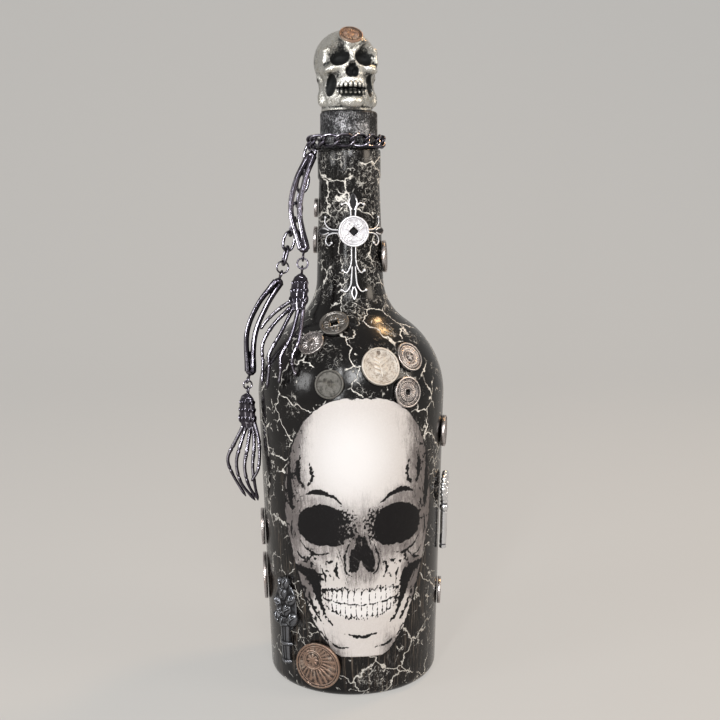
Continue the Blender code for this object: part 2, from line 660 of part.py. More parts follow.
def build_cross(dark_silver):
    """The filigree cross, bent round the neck, as one casting."""
    lift = GAP + CROSS_WIRE
    wires = []
    for index, shares in enumerate(CROSS_WIRES_SHARES):
        steps = smooth_curve([(across, up, 0.0) for across, up in shares], len(shares) + 1)
        path = [on_neck(step.x * CROSS_HALF_SPAN, step.y * CROSS_HEIGHT, lift) for step in steps]
        radii = [CROSS_WIRE] * len(path)
        radii[0] = radii[-1] = CROSS_WIRE * CROSS_END_SHARE
        wires.append(tube(f"cross_wire_{index}", path, radii, 5,
                          side_hint=facing(CROSS_AZIMUTH)))
    cross = wires[0]
    cross.name = "neck_cross"
    cross.data.materials.append(dark_silver)
    unite(cross, *wires[1:])


def build_cross_coin(silver):
    """The coin that covers the middle of the cross."""
    coin = build_coin("cross_coin", CROSS_COIN_DIAMETER, silver, "square")
    lift = 2 * GAP + 2 * CROSS_WIRE
    coin.matrix_world = seat(CROSS_AZIMUTH, CROSS_CENTRE_HEIGHT, lift, CROSS_COIN_DIAMETER / 2,
                             CROSS_COIN_TURN)


def lobe(name, centre, radius, rise):
    """One swelling of a relief: a low dome with its own flat back."""
    shape = lathe(name, [(radius * out, rise * up) for out, up in LOBE_SHARES], 8)
    shape.location = centre
    return shape


def build_crest(black_relief):
    """The black relief charm: a crest of leaves on a stem with a moulding round it."""
    path = [(0.0, CREST_HEIGHT * up, CREST_DEPTH / 2 + CREST_STEP) for up, _ in CREST_STEM_SHARES]
    widths = [CREST_WIDTH * width for _, width in CREST_STEM_SHARES]
    flat_share = CREST_DEPTH / 2 / max(widths)
    stem = tube("crest_charm", path, widths, 10, black_relief, flat_share=flat_share)
    rise = CREST_DEPTH * CREST_LOBE_RISE_SHARE
    lobes = [lobe(f"crest_lobe_{index}",
                  (CREST_WIDTH * across, CREST_HEIGHT * up, CREST_STEP * (index + 1)),
                  CREST_WIDTH * size, rise * (1 + 2 * size))
             for index, (across, up, size) in enumerate(CREST_LOBES_SHARES)]
    across, up, size = CREST_BACK_SHARES
    back = lobe("crest_back", (CREST_WIDTH * across, CREST_HEIGHT * up, 0.0), CREST_WIDTH * size,
                rise / 2)
    unite(stem, back, *lobes)
    middle = CREST_BOTTOM + CREST_HEIGHT / 2
    stem.matrix_world = seat(azimuth_at(CREST_ACROSS, middle), middle, GAP,
                             CREST_HEIGHT / 2) @ Matrix.Translation(
        Vector((0.0, -CREST_HEIGHT / 2, 0.0)))


def build_key(bright_silver):
    """The silver key on the right side: round shaft, collar and a ring bow with a ball."""
    collar_low, collar_high = [KEY_LENGTH * share for share in KEY_COLLAR_SHARES]
    bow_centre = KEY_LENGTH - KEY_BOW_RADIUS - KEY_BOW_WIRE
    profile = [(0.0, 0.0), (KEY_SHAFT_RADIUS, 0.0), (KEY_SHAFT_RADIUS, collar_low),
               (KEY_COLLAR_RADIUS, collar_low), (KEY_COLLAR_RADIUS, collar_high),
               (KEY_SHAFT_RADIUS, collar_high), (KEY_SHAFT_RADIUS, bow_centre),
               (0.0, bow_centre)]
    key = lathe("key_charm", profile, 12, bright_silver)
    ring = []
    for step in range(14):
        angle = 2 * math.pi * step / 14
        ring.append((KEY_BOW_RADIUS * math.cos(angle), 0.0,
                     bow_centre + KEY_BOW_RADIUS * math.sin(angle)))
    bow = tube("key_bow", ring, [KEY_BOW_WIRE] * 14, 6, closed=True,
               side_hint=Vector((0.0, 1.0, 0.0)))
    bar = tube("key_bar", [(-KEY_BOW_RADIUS, 0.0, bow_centre), (KEY_BOW_RADIUS, 0.0, bow_centre)],
               [KEY_BOW_WIRE] * 2, 6)
    unite(key, bow, bar)
    upright = Matrix.Rotation(-math.pi / 2, 4, "X")
    middle = KEY_BOTTOM + KEY_LENGTH / 2
    key.matrix_world = seat(azimuth_at(KEY_ACROSS, middle), middle, GAP + KEY_COLLAR_RADIUS,
                            KEY_LENGTH / 2) @ Matrix.Translation(
        Vector((0.0, -KEY_LENGTH / 2, 0.0))) @ upright


def build_print(paper):
    """The pasted print of a skull: a thin sheet that follows the glass."""
    rows = len(PRINT_OUTLINE_SHARES)
    vertices, faces = [], []
    for lift in (GAP, GAP + PRINT_THICKNESS):
        for up, width in PRINT_OUTLINE_SHARES:
            height = PRINT_BOTTOM + up * PRINT_HEIGHT
            for column in range(PRINT_COLUMNS + 1):
                across = PRINT_HALF_WIDTH * width * (2 * column / PRINT_COLUMNS - 1)
                angle = azimuth_at(PRINT_ACROSS, SHOULDER_HEIGHT) + azimuth_at(across, height)
                reach = glass_radius(height) + lift
                vertices.append(facing(angle) * reach + Vector((0.0, 0.0, height)))
    stride, layer = PRINT_COLUMNS + 1, rows * (PRINT_COLUMNS + 1)
    for row in range(rows - 1):
        for column in range(PRINT_COLUMNS):
            corner = row * stride + column
            patch = (corner, corner + 1, corner + stride + 1, corner + stride)
            faces += [patch[::-1], tuple(index + layer for index in patch)]
    border = ([column for column in range(stride)]
              + [row * stride + PRINT_COLUMNS for row in range(1, rows)]
              + [(rows - 1) * stride + column for column in range(PRINT_COLUMNS - 1, -1, -1)]
              + [row * stride for row in range(rows - 2, 0, -1)])
    for index, corner in enumerate(border):
        following = border[(index + 1) % len(border)]
        faces.append((corner, following, following + layer, corner + layer))
    mesh_object("front_print", vertices, faces, paper)


def link_mesh(name, twist, material):
    """An oval chain link along its own X. twist turns its ends against its middle."""
    path = []
    for step in range(10):
        angle = 2 * math.pi * step / 10
        along, across = math.cos(angle), math.sin(angle)
        width = LINK_HALF_WIDTH * math.copysign(abs(across) ** LINK_FULLNESS_SHARE, across)
        length = LINK_HALF_LENGTH * math.copysign(abs(along) ** LINK_FULLNESS_SHARE, along)
        path.append((length, width * math.sin(twist * along), width * math.cos(twist * along)))
    return tube(name, path, [LINK_WIRE] * 10, 5, material, closed=True,
                side_hint=Vector((0.0, 1.0, 0.0)))


def ring_object(name, radius, wire, material, count=12):
    """A round ring in its own XZ plane."""
    path = [(radius * math.cos(2 * math.pi * step / count), 0.0,
             radius * math.sin(2 * math.pi * step / count)) for step in range(count)]
    return tube(name, path, [wire] * count, 5, material, closed=True,
                side_hint=Vector((0.0, 1.0, 0.0)))


def link_pitch():
    """Distance between the middles of two linked links."""
    return 2 * LINK_HALF_LENGTH - 2 * LINK_WIRE - LINK_PLAY


def chain_spot(place):
    """Middle of one link of the neck chain, and its azimuth. Arm A hangs from link 0 and
    strand B from the link behind it, the last one."""
    step = 360.0 / CHAIN_PLACES
    radius = link_pitch() / (2 * math.tan(math.radians(step / 2)))
    azimuth = CHAIN_AZIMUTH + place * step
    return facing(azimuth) * radius + Vector((-CHAIN_SHIFT, 0.0, CHAIN_HEIGHT)), azimuth


def build_neck_chain(gunmetal):
    """The curb chain that lies round the cap's foot, on the glass collar."""
    axis = guide("neck_chain_axis", Matrix.Translation(Vector((0.0, 0.0, CHAIN_HEIGHT))))
    first = link_mesh("neck_chain_link_01", LINK_TWIST, gunmetal)
    for place in range(CHAIN_PLACES):
        link = place_mesh(f"neck_chain_link_{place + 1:02d}", first.data) if place else first
        spot, azimuth = chain_spot(place)
        settle(link, axis, Matrix.Translation(spot) @ Matrix.Rotation(
            math.radians(azimuth), 4, "Z"))


def hang_spot(place):
    """Middle of the lower wire of a link of the neck chain."""
    low = LINK_HALF_WIDTH * math.cos(math.pi / 10) ** LINK_FULLNESS_SHARE
    return chain_spot(place)[0] - Vector((0.0, 0.0, low))


def hook(wire):
    """How far an eye's centre hangs below the middle of the wire that it hangs on."""
    return EYE_RADIUS - EYE_WIRE - wire - GAP


def down(distance):
    """A step along a strand's own -Z."""
    return Matrix.Translation(Vector((0.0, 0.0, -distance)))


def forearm(name, top_eye_turn, material):
    """Two bowed bones between an eye at each end, the top eye's centre at its origin."""
    ends = ELBOW_RADIUS + EYE_RADIUS
    bones = []
    for side in (-1, 1):
        root = side * BONE_SPACING * BONE_ROOT_SHARE
        points = [(root, 0.0, -ends)]
        for spacing, bow, along in BONE_LINE_SHARES:
            points.append((side * BONE_SPACING * spacing - FOREARM_BOW * bow, 0.0,
                           -FOREARM_LENGTH * along))
        points.append((root, 0.0, ends - FOREARM_LENGTH))
        swell = (BONE_END_RADIUS, BONE_RADIUS, BONE_RADIUS, BONE_RADIUS, BONE_RADIUS,
                 BONE_RADIUS, BONE_END_RADIUS)
        bones.append(tube(f"{name}_bone_{side}", smooth_curve(points, len(swell)), swell, 6,
                          side_hint=Vector((0.0, 1.0, 0.0))))
    pieces = [bones[1]]
    for label, place, turn in (("top", 0.0, top_eye_turn), ("low", -FOREARM_LENGTH, math.pi / 2)):
        eye = ring_object(f"{name}_eye_{label}", EYE_RADIUS, EYE_WIRE, None, 8)
        eye.matrix_world = Matrix.Translation(Vector((0.0, 0.0, place))) @ Matrix.Rotation(
            turn, 4, "Z")
        toward = -1 if label == "top" else 1
        knuckle = tube(f"{name}_end_{label}",
                       [(0.0, 0.0, place + toward * (EYE_RADIUS - EYE_WIRE / 2)),
                        (0.0, 0.0, place + toward * ends),
                        (0.0, 0.0, place + toward * (ends + ELBOW_RADIUS))],
                       (EYE_WIRE, ELBOW_RADIUS, BONE_END_RADIUS), 8,
                       flat_share=KNUCKLE_FLAT_SHARE,
                       side_hint=Vector((0.0, 1.0, 0.0)))
        pieces += [eye, knuckle]
    arm = bones[0]
    arm.name = name
    arm.data.materials.append(material)
    return unite(arm, *pieces)


def hand(name, finger_shares, turn, material):
    """A cast skeleton hand: wrist and palm block, four fingers, a thumb and its eye."""
    path = [(0.0, 0.0, EYE_WIRE / 2 - EYE_RADIUS)]
    widths = [PALM_HALF_WIDTH * PALM_NECK_SHARE]
    for along, width in PALM_SHARES:
        path.append((0.0, 0.0, -HAND_LENGTH * along))
        widths.append(PALM_HALF_WIDTH * width)
    palm = tube(name, path, widths, 8, material, flat_share=PALM_HALF_DEPTH / PALM_HALF_WIDTH,
                side_hint=Vector((0.0, 1.0, 0.0)))
    pieces = [ring_object(f"{name}_eye", EYE_RADIUS, EYE_WIRE, None, 8)]
    pieces[0].matrix_world = Matrix.Rotation(math.pi / 2 - turn, 4, "Z")
    for index, shares in enumerate(finger_shares):
        points = [Vector((across, depth, -along)) * HAND_LENGTH for across, depth, along in shares]
        radii = [FINGER_RADIUS * swell for swell in FINGER_SWELL_SHARES]
        pieces.append(tube(f"{name}_finger_{index}", smooth_curve(points, len(radii)), radii, 6,
                           side_hint=Vector((0.0, 1.0, 0.0))))
    return unite(palm, *pieces)


def clear_of_glass(line, length):
    """How far the lower half of a straight strand hangs clear of the glass."""
    gaps = []
    for share in (0.5, 0.6, 0.7, 0.8, 0.9, 1.0):
        point = (line @ down(length * share)).translation
        gaps.append(math.hypot(point.x, point.y) - glass_radius(point.z))
    return min(gaps)


def arm_a_axes():
    """Axes of arm A at the wire it hangs on, leant forward until it clears the shoulder."""
    length = FOREARM_LENGTH + 2 * WRIST_RING_A_RADIUS + HAND_LENGTH
    low, high = 0.0, math.pi / 3
    for _ in range(30):
        middle = (low + high) / 2
        line = Matrix.Translation(hang_spot(0)) @ Matrix.Rotation(
            -middle, 4, "X") @ Matrix.Rotation(ARM_A_ROLL, 4, "Y")
        if clear_of_glass(line, length) < ARM_A_CLEARANCE:
            low = middle
        else:
            high = middle
    return line


def build_arm_a(gunmetal):
    """Arm A hangs from the neck chain and lies forward over the shoulder."""
    shoulder = guide("forearm_a_joint", arm_a_axes())
    carry(forearm("forearm_a", 0.0, gunmetal), shoulder, down(hook(LINK_WIRE)))
    ring_top = hook(LINK_WIRE) + FOREARM_LENGTH + hook(RING_WIRE)
    wrist = guide("wrist_ring_a_joint", shoulder.matrix_world @ down(ring_top))
    carry(ring_object("wrist_ring_a", WRIST_RING_A_RADIUS, RING_WIRE, gunmetal), wrist,
          down(WRIST_RING_A_RADIUS))
    palm = guide("hand_a_joint", wrist.matrix_world @ down(2 * WRIST_RING_A_RADIUS))
    carry(hand("hand_a", FINGERS_A_SHARES, HAND_A_TURN, gunmetal), palm,
          down(hook(RING_WIRE)) @ Matrix.Rotation(HAND_A_TURN, 4, "Z"))


def lean_out(spot, lean):
    """Axes of strand B at a spot: own -X away from the bottle, own -Z down the strand."""
    return Matrix.Translation(spot) @ Matrix.Rotation(
        math.radians(ARM_B_AZIMUTH + 90), 4, "Z") @ Matrix.Rotation(lean, 4, "Y")


def build_strand(gunmetal):
    """The run of chain that strand B starts with. Each link turns about the wire that runs
    across the strand where it meets the link above. Returns the last link's lower wire."""
    line = lean_out(hang_spot(-1), CHAIN_B_LEAN)
    upright = Matrix.Rotation(math.pi / 2, 4, "Y")
    first = link_mesh("strand_link_01", 0.0, gunmetal)
    wire_above = 0.0
    for index in range(STRAND_LINKS):
        label = f"strand_link_{index + 1:02d}"
        link = place_mesh(label, first.data) if index else first
        top_wire = wire_above - 2 * LINK_WIRE - LINK_PLAY
        pivot = top_wire if index % 2 else wire_above
        joint = guide(f"{label}_joint", line @ down(pivot))
        turn = Matrix.Rotation(math.pi / 2 * (index % 2), 4, "Z")
        carry(link, joint, down(top_wire + LINK_HALF_LENGTH - pivot) @ turn @ upright)
        wire_above = top_wire + 2 * LINK_HALF_LENGTH
    return line @ down(wire_above)


def forearm_b_lean(spot):
    """Lean at which the wrist of arm B hangs clear of the body, from the elbow at spot."""
    out = facing(ARM_B_AZIMUTH)
    along = spot.x * out.x + spot.y * out.y
    beside = spot.x ** 2 + spot.y ** 2 - along ** 2
    wrist = math.sqrt((BODY_RADIUS + ARM_B_CLEARANCE) ** 2 - beside)
    return math.asin((wrist - along) / (FOREARM_LENGTH + 2 * hook(RING_WIRE)))


def build_arm_b(gunmetal):
    """Strand B: a run of chain, then forearm and hand, draped over the shoulder's side."""
    joint = guide("elbow_ring_b_joint", build_strand(gunmetal))
    ring_middle = ELBOW_RING_B_RADIUS - LINK_WIRE - RING_WIRE - LINK_PLAY
    carry(ring_object("elbow_ring_b", ELBOW_RING_B_RADIUS, RING_WIRE, gunmetal), joint,
          down(ring_middle))
    ring_low = joint.matrix_world @ down(ring_middle + ELBOW_RING_B_RADIUS)
    bones = lean_out(ring_low.translation, forearm_b_lean(ring_low.translation))
    eye_top = hook(RING_WIRE) - EYE_RADIUS
    elbow = guide("forearm_b_joint", bones @ down(eye_top))
    carry(forearm("forearm_b", math.pi / 2, gunmetal), elbow, down(EYE_RADIUS))
    ring_top = bones @ down(hook(RING_WIRE) + FOREARM_LENGTH + hook(RING_WIRE))
    wrist = guide("wrist_ring_b_joint", lean_out(ring_top.translation, 0.0))
    carry(ring_object("wrist_ring_b", WRIST_RING_B_RADIUS, RING_WIRE, gunmetal), wrist,
          down(WRIST_RING_B_RADIUS))
    palm = guide("hand_b_joint", wrist.matrix_world @ down(2 * WRIST_RING_B_RADIUS + eye_top))
    carry(hand("hand_b", FINGERS_B_SHARES, HAND_B_TURN, gunmetal), palm,
          down(EYE_RADIUS) @ Matrix.Rotation(HAND_B_TURN, 4, "Z"))


def build_crown_coin(skull, copper):
    """The small coin on the skull's forehead, where its surface faces half upwards."""
    coin = build_coin("crown_coin", CROWN_COIN_DIAMETER, copper)
    width = SKULL_HALF_WIDTH / CRANIUM_SHARES[1][0]
    depth_size = CRANIUM_SHARES[1][1] * width
    height_size = CRANIUM_SHARES[1][2] * SKULL_HEIGHT
    back, up = -math.cos(CROWN_COIN_TILT), math.sin(CROWN_COIN_TILT)
    reach = math.hypot(depth_size * back, height_size * up)
    spot = Vector((0.0, CRANIUM_SHARES[0][1] * width + depth_size ** 2 * back / reach,
                   CRANIUM_SHARES[0][2] * SKULL_HEIGHT + height_size ** 2 * up / reach))
    spot += Vector((0.0, back, up)) * GAP
    carry(coin, skull, Matrix.Translation(spot) @ Matrix.Rotation(
        math.pi / 2 - CROWN_COIN_TILT, 4, "X"))


def main():
    clear_scene()
    glass = finish("black_crackle_paint", (0.02, 0.018, 0.017), 0.3, 0.0)
    cap_black = finish("dry_brushed_black", (0.05, 0.05, 0.052), 0.5, 0.3)
    white = finish("liner_white", (0.75, 0.75, 0.72), 0.6, 0.0)
    pewter = finish("antique_pewter", (0.45, 0.44, 0.42), 0.25, 1.0)
    silver = finish("coin_silver", (0.55, 0.54, 0.50), 0.3, 1.0)
    copper = finish("coin_copper", (0.45, 0.22, 0.12), 0.35, 1.0)
    dark_silver = finish("dark_silver", (0.30, 0.30, 0.31), 0.35, 1.0)
    gunmetal = finish("gunmetal", (0.12, 0.12, 0.13), 0.18, 1.0)
    black_relief = finish("black_relief", (0.02, 0.02, 0.022), 0.2, 0.2)
    bright_silver = finish("bright_silver", (0.75, 0.76, 0.78), 0.25, 1.0)
    paper = finish("print_paper", (0.72, 0.68, 0.66), 0.4, 0.0)

    build_bottle(glass)
    build_band(cap_black)
    build_liner(white)
    cap = build_cap(cap_black)
    skull = build_skull(cap, pewter)
    build_crown_coin(skull, copper)
    build_print(paper)
    build_coins(silver, copper)
    build_cross(dark_silver)
    build_cross_coin(silver)
    build_crest(black_relief)
    build_key(bright_silver)
    build_neck_chain(gunmetal)
    build_arm_a(gunmetal)
    build_arm_b(gunmetal)


main()
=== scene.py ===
"""Looks of the decorated bottle: the painted glass, its pasted skull print, the glued coins and
charms, the cast skull on the cap, and the chain with its two skeleton arms."""

import json
import math

import bpy
import numpy as np
from mathutils import Matrix, Vector


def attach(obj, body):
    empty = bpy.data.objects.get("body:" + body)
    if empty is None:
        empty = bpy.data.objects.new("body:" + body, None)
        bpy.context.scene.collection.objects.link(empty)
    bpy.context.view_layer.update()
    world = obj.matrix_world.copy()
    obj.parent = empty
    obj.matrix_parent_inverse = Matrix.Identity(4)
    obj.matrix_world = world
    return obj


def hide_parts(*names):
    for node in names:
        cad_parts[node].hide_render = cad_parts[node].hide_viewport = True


MM = 0.001

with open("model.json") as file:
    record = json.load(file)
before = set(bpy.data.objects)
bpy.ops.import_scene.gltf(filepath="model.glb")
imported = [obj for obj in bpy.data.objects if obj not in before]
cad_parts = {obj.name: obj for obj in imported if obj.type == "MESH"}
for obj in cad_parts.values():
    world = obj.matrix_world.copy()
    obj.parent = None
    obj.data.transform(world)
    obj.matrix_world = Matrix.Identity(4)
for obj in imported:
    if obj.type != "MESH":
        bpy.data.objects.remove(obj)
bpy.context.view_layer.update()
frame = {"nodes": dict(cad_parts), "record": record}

# Lengths are in millimetres and angles in degrees, unless a line says otherwise

# Bottle, with the curves of its shoulder and neck root
BODY_RADIUS = 47.5
FOOT_RADIUS = 43.3
HEEL_ROUND = 5.0
SHOULDER_HEIGHT = 147.0
SHOULDER_CURVE = 45.2
ROOT_CURVE = 26.0
NECK_ROOT_RADIUS = 16.8
NECK_TOP_RADIUS = 15.1
COLLAR_RADIUS = 15.75
COLLAR_BOTTOM = 255.0
COLLAR_TOP = 269.0
FINISH_RADIUS = 11.9
BORE_RADIUS = 9.3
MOUTH_HEIGHT = 285.0
WALL = 3.5
BASE_TOP = 6.0

# Closure and the cast skull on it
NECK_THREAD = 274.6
CAP_THREAD = 276.2
THREAD_PITCH = 3.2
THREAD_STEPS = 72
TURN_STEPS = 48
CAP_RADIUS = 14.25
CAP_BORE = 13.1
CAP_FOOT = 272.0
CAP_CEILING = 286.2
CAP_TOP = 287.5
CAP_ROUND = 1.6
CAP_RIBS = 60
RIB_DEPTH = 0.14
BAND_PROFILE = ((12.4, 269.3), (13.8, 269.3), (14.0, 269.5), (14.0, 271.5), (13.8, 271.7),
                (12.4, 271.7), (12.4, 269.3))
LINER_PROFILE = ((0.0, 285.3), (12.1, 285.3), (12.4, 285.45), (12.4, 285.75), (12.1, 285.9),
                 (0.0, 285.9))
SKULL_TURN = 11.0
SKULL_SHIFT = -1.2

# Print and cross
PRINT_FOOT = 22.0
PRINT_HEIGHT = 130.0
PRINT_AZIMUTH = 5.5
PRINT_LIFT = 0.55
PRINT_THICKNESS = 0.3
PRINT_COLUMNS = 200
PRINT_ROWS = 240
CROSS_HEIGHT = 229.0
CROSS_AZIMUTH = 6.0
CROSS_LIFT = 1.25
PLATE_LIFT = 0.95
PLATE_FLATNESS = 0.28

# Charms: how far round the wall from the front, how high, and how far off the paint
CREST_PLACE = (-36.3, 37.0, 0.3)
KEY_PLACE = (62.24, 86.75, 2.6)
KEY_HALF_LENGTH = 20.75
KEY_BOW_HEIGHT = 32.8
KEY_BOW_RADIUS = 7.0
KEY_PROFILE = (
    (0.0, 0.0), (1.5, 0.0), (1.82, 0.3), (1.82, 1.6), (1.55, 1.9), (1.55, 2.3), (1.78, 2.6),
    (1.72, 10.0), (1.78, 19.4), (1.5, 19.8), (2.0, 20.3), (2.28, 21.3), (2.28, 22.1), (2.0, 23.0),
    (1.6, 23.4), (1.6, 23.8), (2.05, 24.3), (2.05, 25.0), (1.5, 25.6), (1.3, 26.4), (0.0, 26.6),
)
KEY_SCROLL = ((0.3, 26.2), (1.4, 28.0), (3.6, 29.6), (5.0, 32.0), (4.2, 34.8), (2.2, 35.0),
              (1.6, 33.2), (2.8, 32.4))

# Chain, rings and arms
LINK_WIRE = 0.75
LINK_HALF_LENGTH = 4.75
LINK_HALF_WIDTH = 2.75
LINK_PITCH = 7.5
LINK_TWIST = 48.0
CHAIN_PLACES = 15
CHAIN_HEIGHT = 272.8
CHAIN_AZIMUTH = -74.0
CHAIN_SHIFT = -1.4
STRAND_LINKS = 8
STRAND_TURN = 18.0
RING_WIRE = 0.45
ELBOW_RING = 3.0
WRIST_RING_A = 2.6
WRIST_RING_B = 2.1
EYE_RADIUS = 1.7
EYE_WIRE = 0.5
FOREARM_LENGTH = 56.0
BONE_STEPS = 36
HAND_LENGTH = 58.0
FINGER_STEPS = 45

# The way the arms, their rings and the run of links face where a highlight is painted along them,
# and how wide the painted bright line is
ARM_HIGHLIGHT_SIDE = (-0.35, -0.93, 0.12)
HIGHLIGHT_LINE = 0.935

# Camera, floor and light: the camera's place in metres, its pitch, yaw and roll and its lens
CAMERA_SPOT = (0.0, -0.545, 0.243)
CAMERA_ANGLES = (8.35, 0.497, 0.43)
CAMERA_LENS = 53.65
PALE = (0.62, 0.605, 0.58)
PLAIN_WAYS = ("Is Camera Ray", "Is Glossy Ray", "Is Transmission Ray")

# Soft lamps: place and target in metres, width and height, power, colour
LAMPS = {
    "front_lamp": ((0.10, -1.15, 0.80), (0.0, 0.0, 0.17), (0.32, 0.32), 7.5, (1.0, 1.0, 1.0)),
    "strip_lamp": ((-0.20, -0.74, 0.41), (0.0, 0.0, 0.20), (0.05, 0.60), 3.0, (1.0, 1.0, 1.0)),
    "side_lamp": ((0.95, -0.35, 0.55), (0.0, 0.0, 0.17), (0.4, 0.4), 4.0, (1.0, 0.88, 0.74)),
    "left_lamp": ((-0.9, -0.5, 0.45), (0.0, 0.0, 0.17), (0.3, 0.3), 3.0, (1.0, 1.0, 1.0)),
    "warm_lamp": ((0.52, 0.30, 1.15), (0.0, 0.0, 0.2), (0.18, 0.18), 5.0, (1.0, 0.62, 0.30)),
}


class Signal:
    """A shader socket that takes part in sums. Each sum adds a Math node."""

    def __init__(self, finish, socket):
        self.finish = finish
        self.socket = socket

    def sum(self, operation, *values):
        places = dict(enumerate(values))
        return self.finish.node("ShaderNodeMath", {"operation": operation}, places)

    def __add__(self, other):
        return self.sum("ADD", self, other)

    __radd__ = __add__

    def __sub__(self, other):
        return self.sum("SUBTRACT", self, other)

    def __rsub__(self, other):
        return self.sum("SUBTRACT", other, self)

    def __mul__(self, other):
        return self.sum("MULTIPLY", self, other)

    __rmul__ = __mul__

    def higher_of(self, other):
        return self.sum("MAXIMUM", self, other)


class Finish:
    """The surface finish of some pieces: one material and what its nodes are made with."""

    def __init__(self, name, **constants):
        self.material = bpy.data.materials.new(name)
        self.material.use_nodes = True
        self.tree = self.material.node_tree
        self.shader = self.tree.nodes["Principled BSDF"]
        for socket, value in constants.items():
            self.set(socket, value)
        place = self.node("ShaderNodeTexCoord", {}, {}, "Object")
        self.place = self.node("ShaderNodeMapping", {}, {"Vector": place, "Scale": (1000.0,) * 3})

    def node(self, kind, settings, values, output=0):
        """A node of that kind: its settings first, then the values or links of its sockets."""
        node = self.tree.nodes.new(kind)
        for setting, value in settings.items():
            setattr(node, setting, value)
        for socket, value in values.items():
            self.feed(node.inputs[socket], value)
        return Signal(self, node.outputs[output])

    def feed(self, socket, value):
        if isinstance(value, Signal):
            self.tree.links.new(value.socket, socket)
        else:
            socket.default_value = value

    def set(self, socket, value):
        """Feed one of the shader's own sockets."""
        self.feed(self.shader.inputs[socket], value)

    def noise(self, size, detail=3.0, roughness=0.55, squeeze=None):
        """Noise of that size in millimetres, between 0 and 1, which may be squeezed."""
        place = self.place
        if squeeze:
            place = self.node("ShaderNodeMapping", {}, {"Vector": place, "Scale": squeeze})
        return self.node("ShaderNodeTexNoise", {}, {"Vector": place, "Scale": 1.0 / size,
                                                    "Detail": detail, "Roughness": roughness})

    def cell_edges(self, size, place):
        """Distance to the nearest edge between cells, in cell sizes."""
        return self.node("ShaderNodeTexVoronoi", {"feature": "DISTANCE_TO_EDGE"},
                         {"Vector": place, "Scale": 1.0 / size}, "Distance")

    def shifted(self, size, reach, detail):
        """The place, pushed about by noise, so that straight lines wander."""
        push = self.node("ShaderNodeTexNoise", {}, {"Vector": self.place, "Scale": 1.0 / size,
                                                    "Detail": detail}, "Color")
        push = self.node("ShaderNodeVectorMath", {"operation": "SUBTRACT"},
                         {0: push, 1: (0.5, 0.5, 0.5)})
        push = self.node("ShaderNodeVectorMath", {"operation": "SCALE"},
                         {0: push, "Scale": reach})
        return self.node("ShaderNodeVectorMath", {"operation": "ADD"}, {0: self.place, 1: push})

    def step(self, value, low, high):
        """A smooth step of a value between two levels."""
        return self.node("ShaderNodeMapRange", {"interpolation_type": "SMOOTHSTEP"},
                         {"Value": value, "From Min": low, "From Max": high})

    def mixed(self, share, first, second):
        """Two colours mixed by a share."""
        first, second = [colour if isinstance(colour, Signal) else (*colour, 1.0)
                         for colour in (first, second)]
        return self.node("ShaderNodeMix", {"data_type": "RGBA"}, {0: share, 6: first, 7: second},
                         2)

    def attribute(self, name):
        """A number kept at the piece's own points."""
        return self.node("ShaderNodeAttribute", {"attribute_name": name}, {}, "Fac")

    def axis(self, name):
        """One of the place's own numbers, in millimetres."""
        return self.node("ShaderNodeSeparateXYZ", {}, {"Vector": self.place}, name)

    def bump(self, height, distance, strength):
        """A bump whose full height is a distance in millimetres."""
        return self.node("ShaderNodeBump", {}, {"Height": height, "Distance": distance * MM,
                                                "Strength": strength})


def crackle(paint, neck, low):
    """The torn paint: bold veins, twigs between them, and nets and flecks in patches."""
    drift = paint.shifted(6.0, 8.0, 5.0)
    near = paint.shifted(2.2, 3.0, 5.0)
    torn = paint.noise(2.6, 4.0, 0.75)
    patch = paint.noise(15.0, 4.0, 0.65)
    veins = 1.0 - paint.step(paint.cell_edges(21.0, drift), 0.003, torn * 0.030 + 0.004)
    veins = veins * paint.step(paint.noise(16.0, 3.0), 0.44, 0.50)
    twigs = 1.0 - paint.step(paint.cell_edges(9.5, near), 0.004, torn * 0.046 + 0.004)
    twigs = twigs * paint.step(paint.noise(11.0, 4.0, 0.7), 0.53, 0.59)
    net = 1.0 - paint.step(paint.cell_edges(2.8, near), 0.01, 0.10)
    net = net * paint.step(patch - low * 0.05 + neck * 0.06, 0.55, 0.61)
    net = net * paint.step(torn, 0.44, 0.58) * 0.55
    flecks = paint.step(paint.noise(0.8, 4.0, 0.75, (0.8, 0.8, 1.4)), 0.58, 0.68)
    flecks = flecks * paint.step(patch + neck * 0.13, 0.50, 0.66) * 0.42
    cracks = veins.higher_of(twigs).higher_of(net).higher_of(flecks)
    return cracks * paint.step(torn, 0.26, 0.42) * (1.0 - low * 0.30)


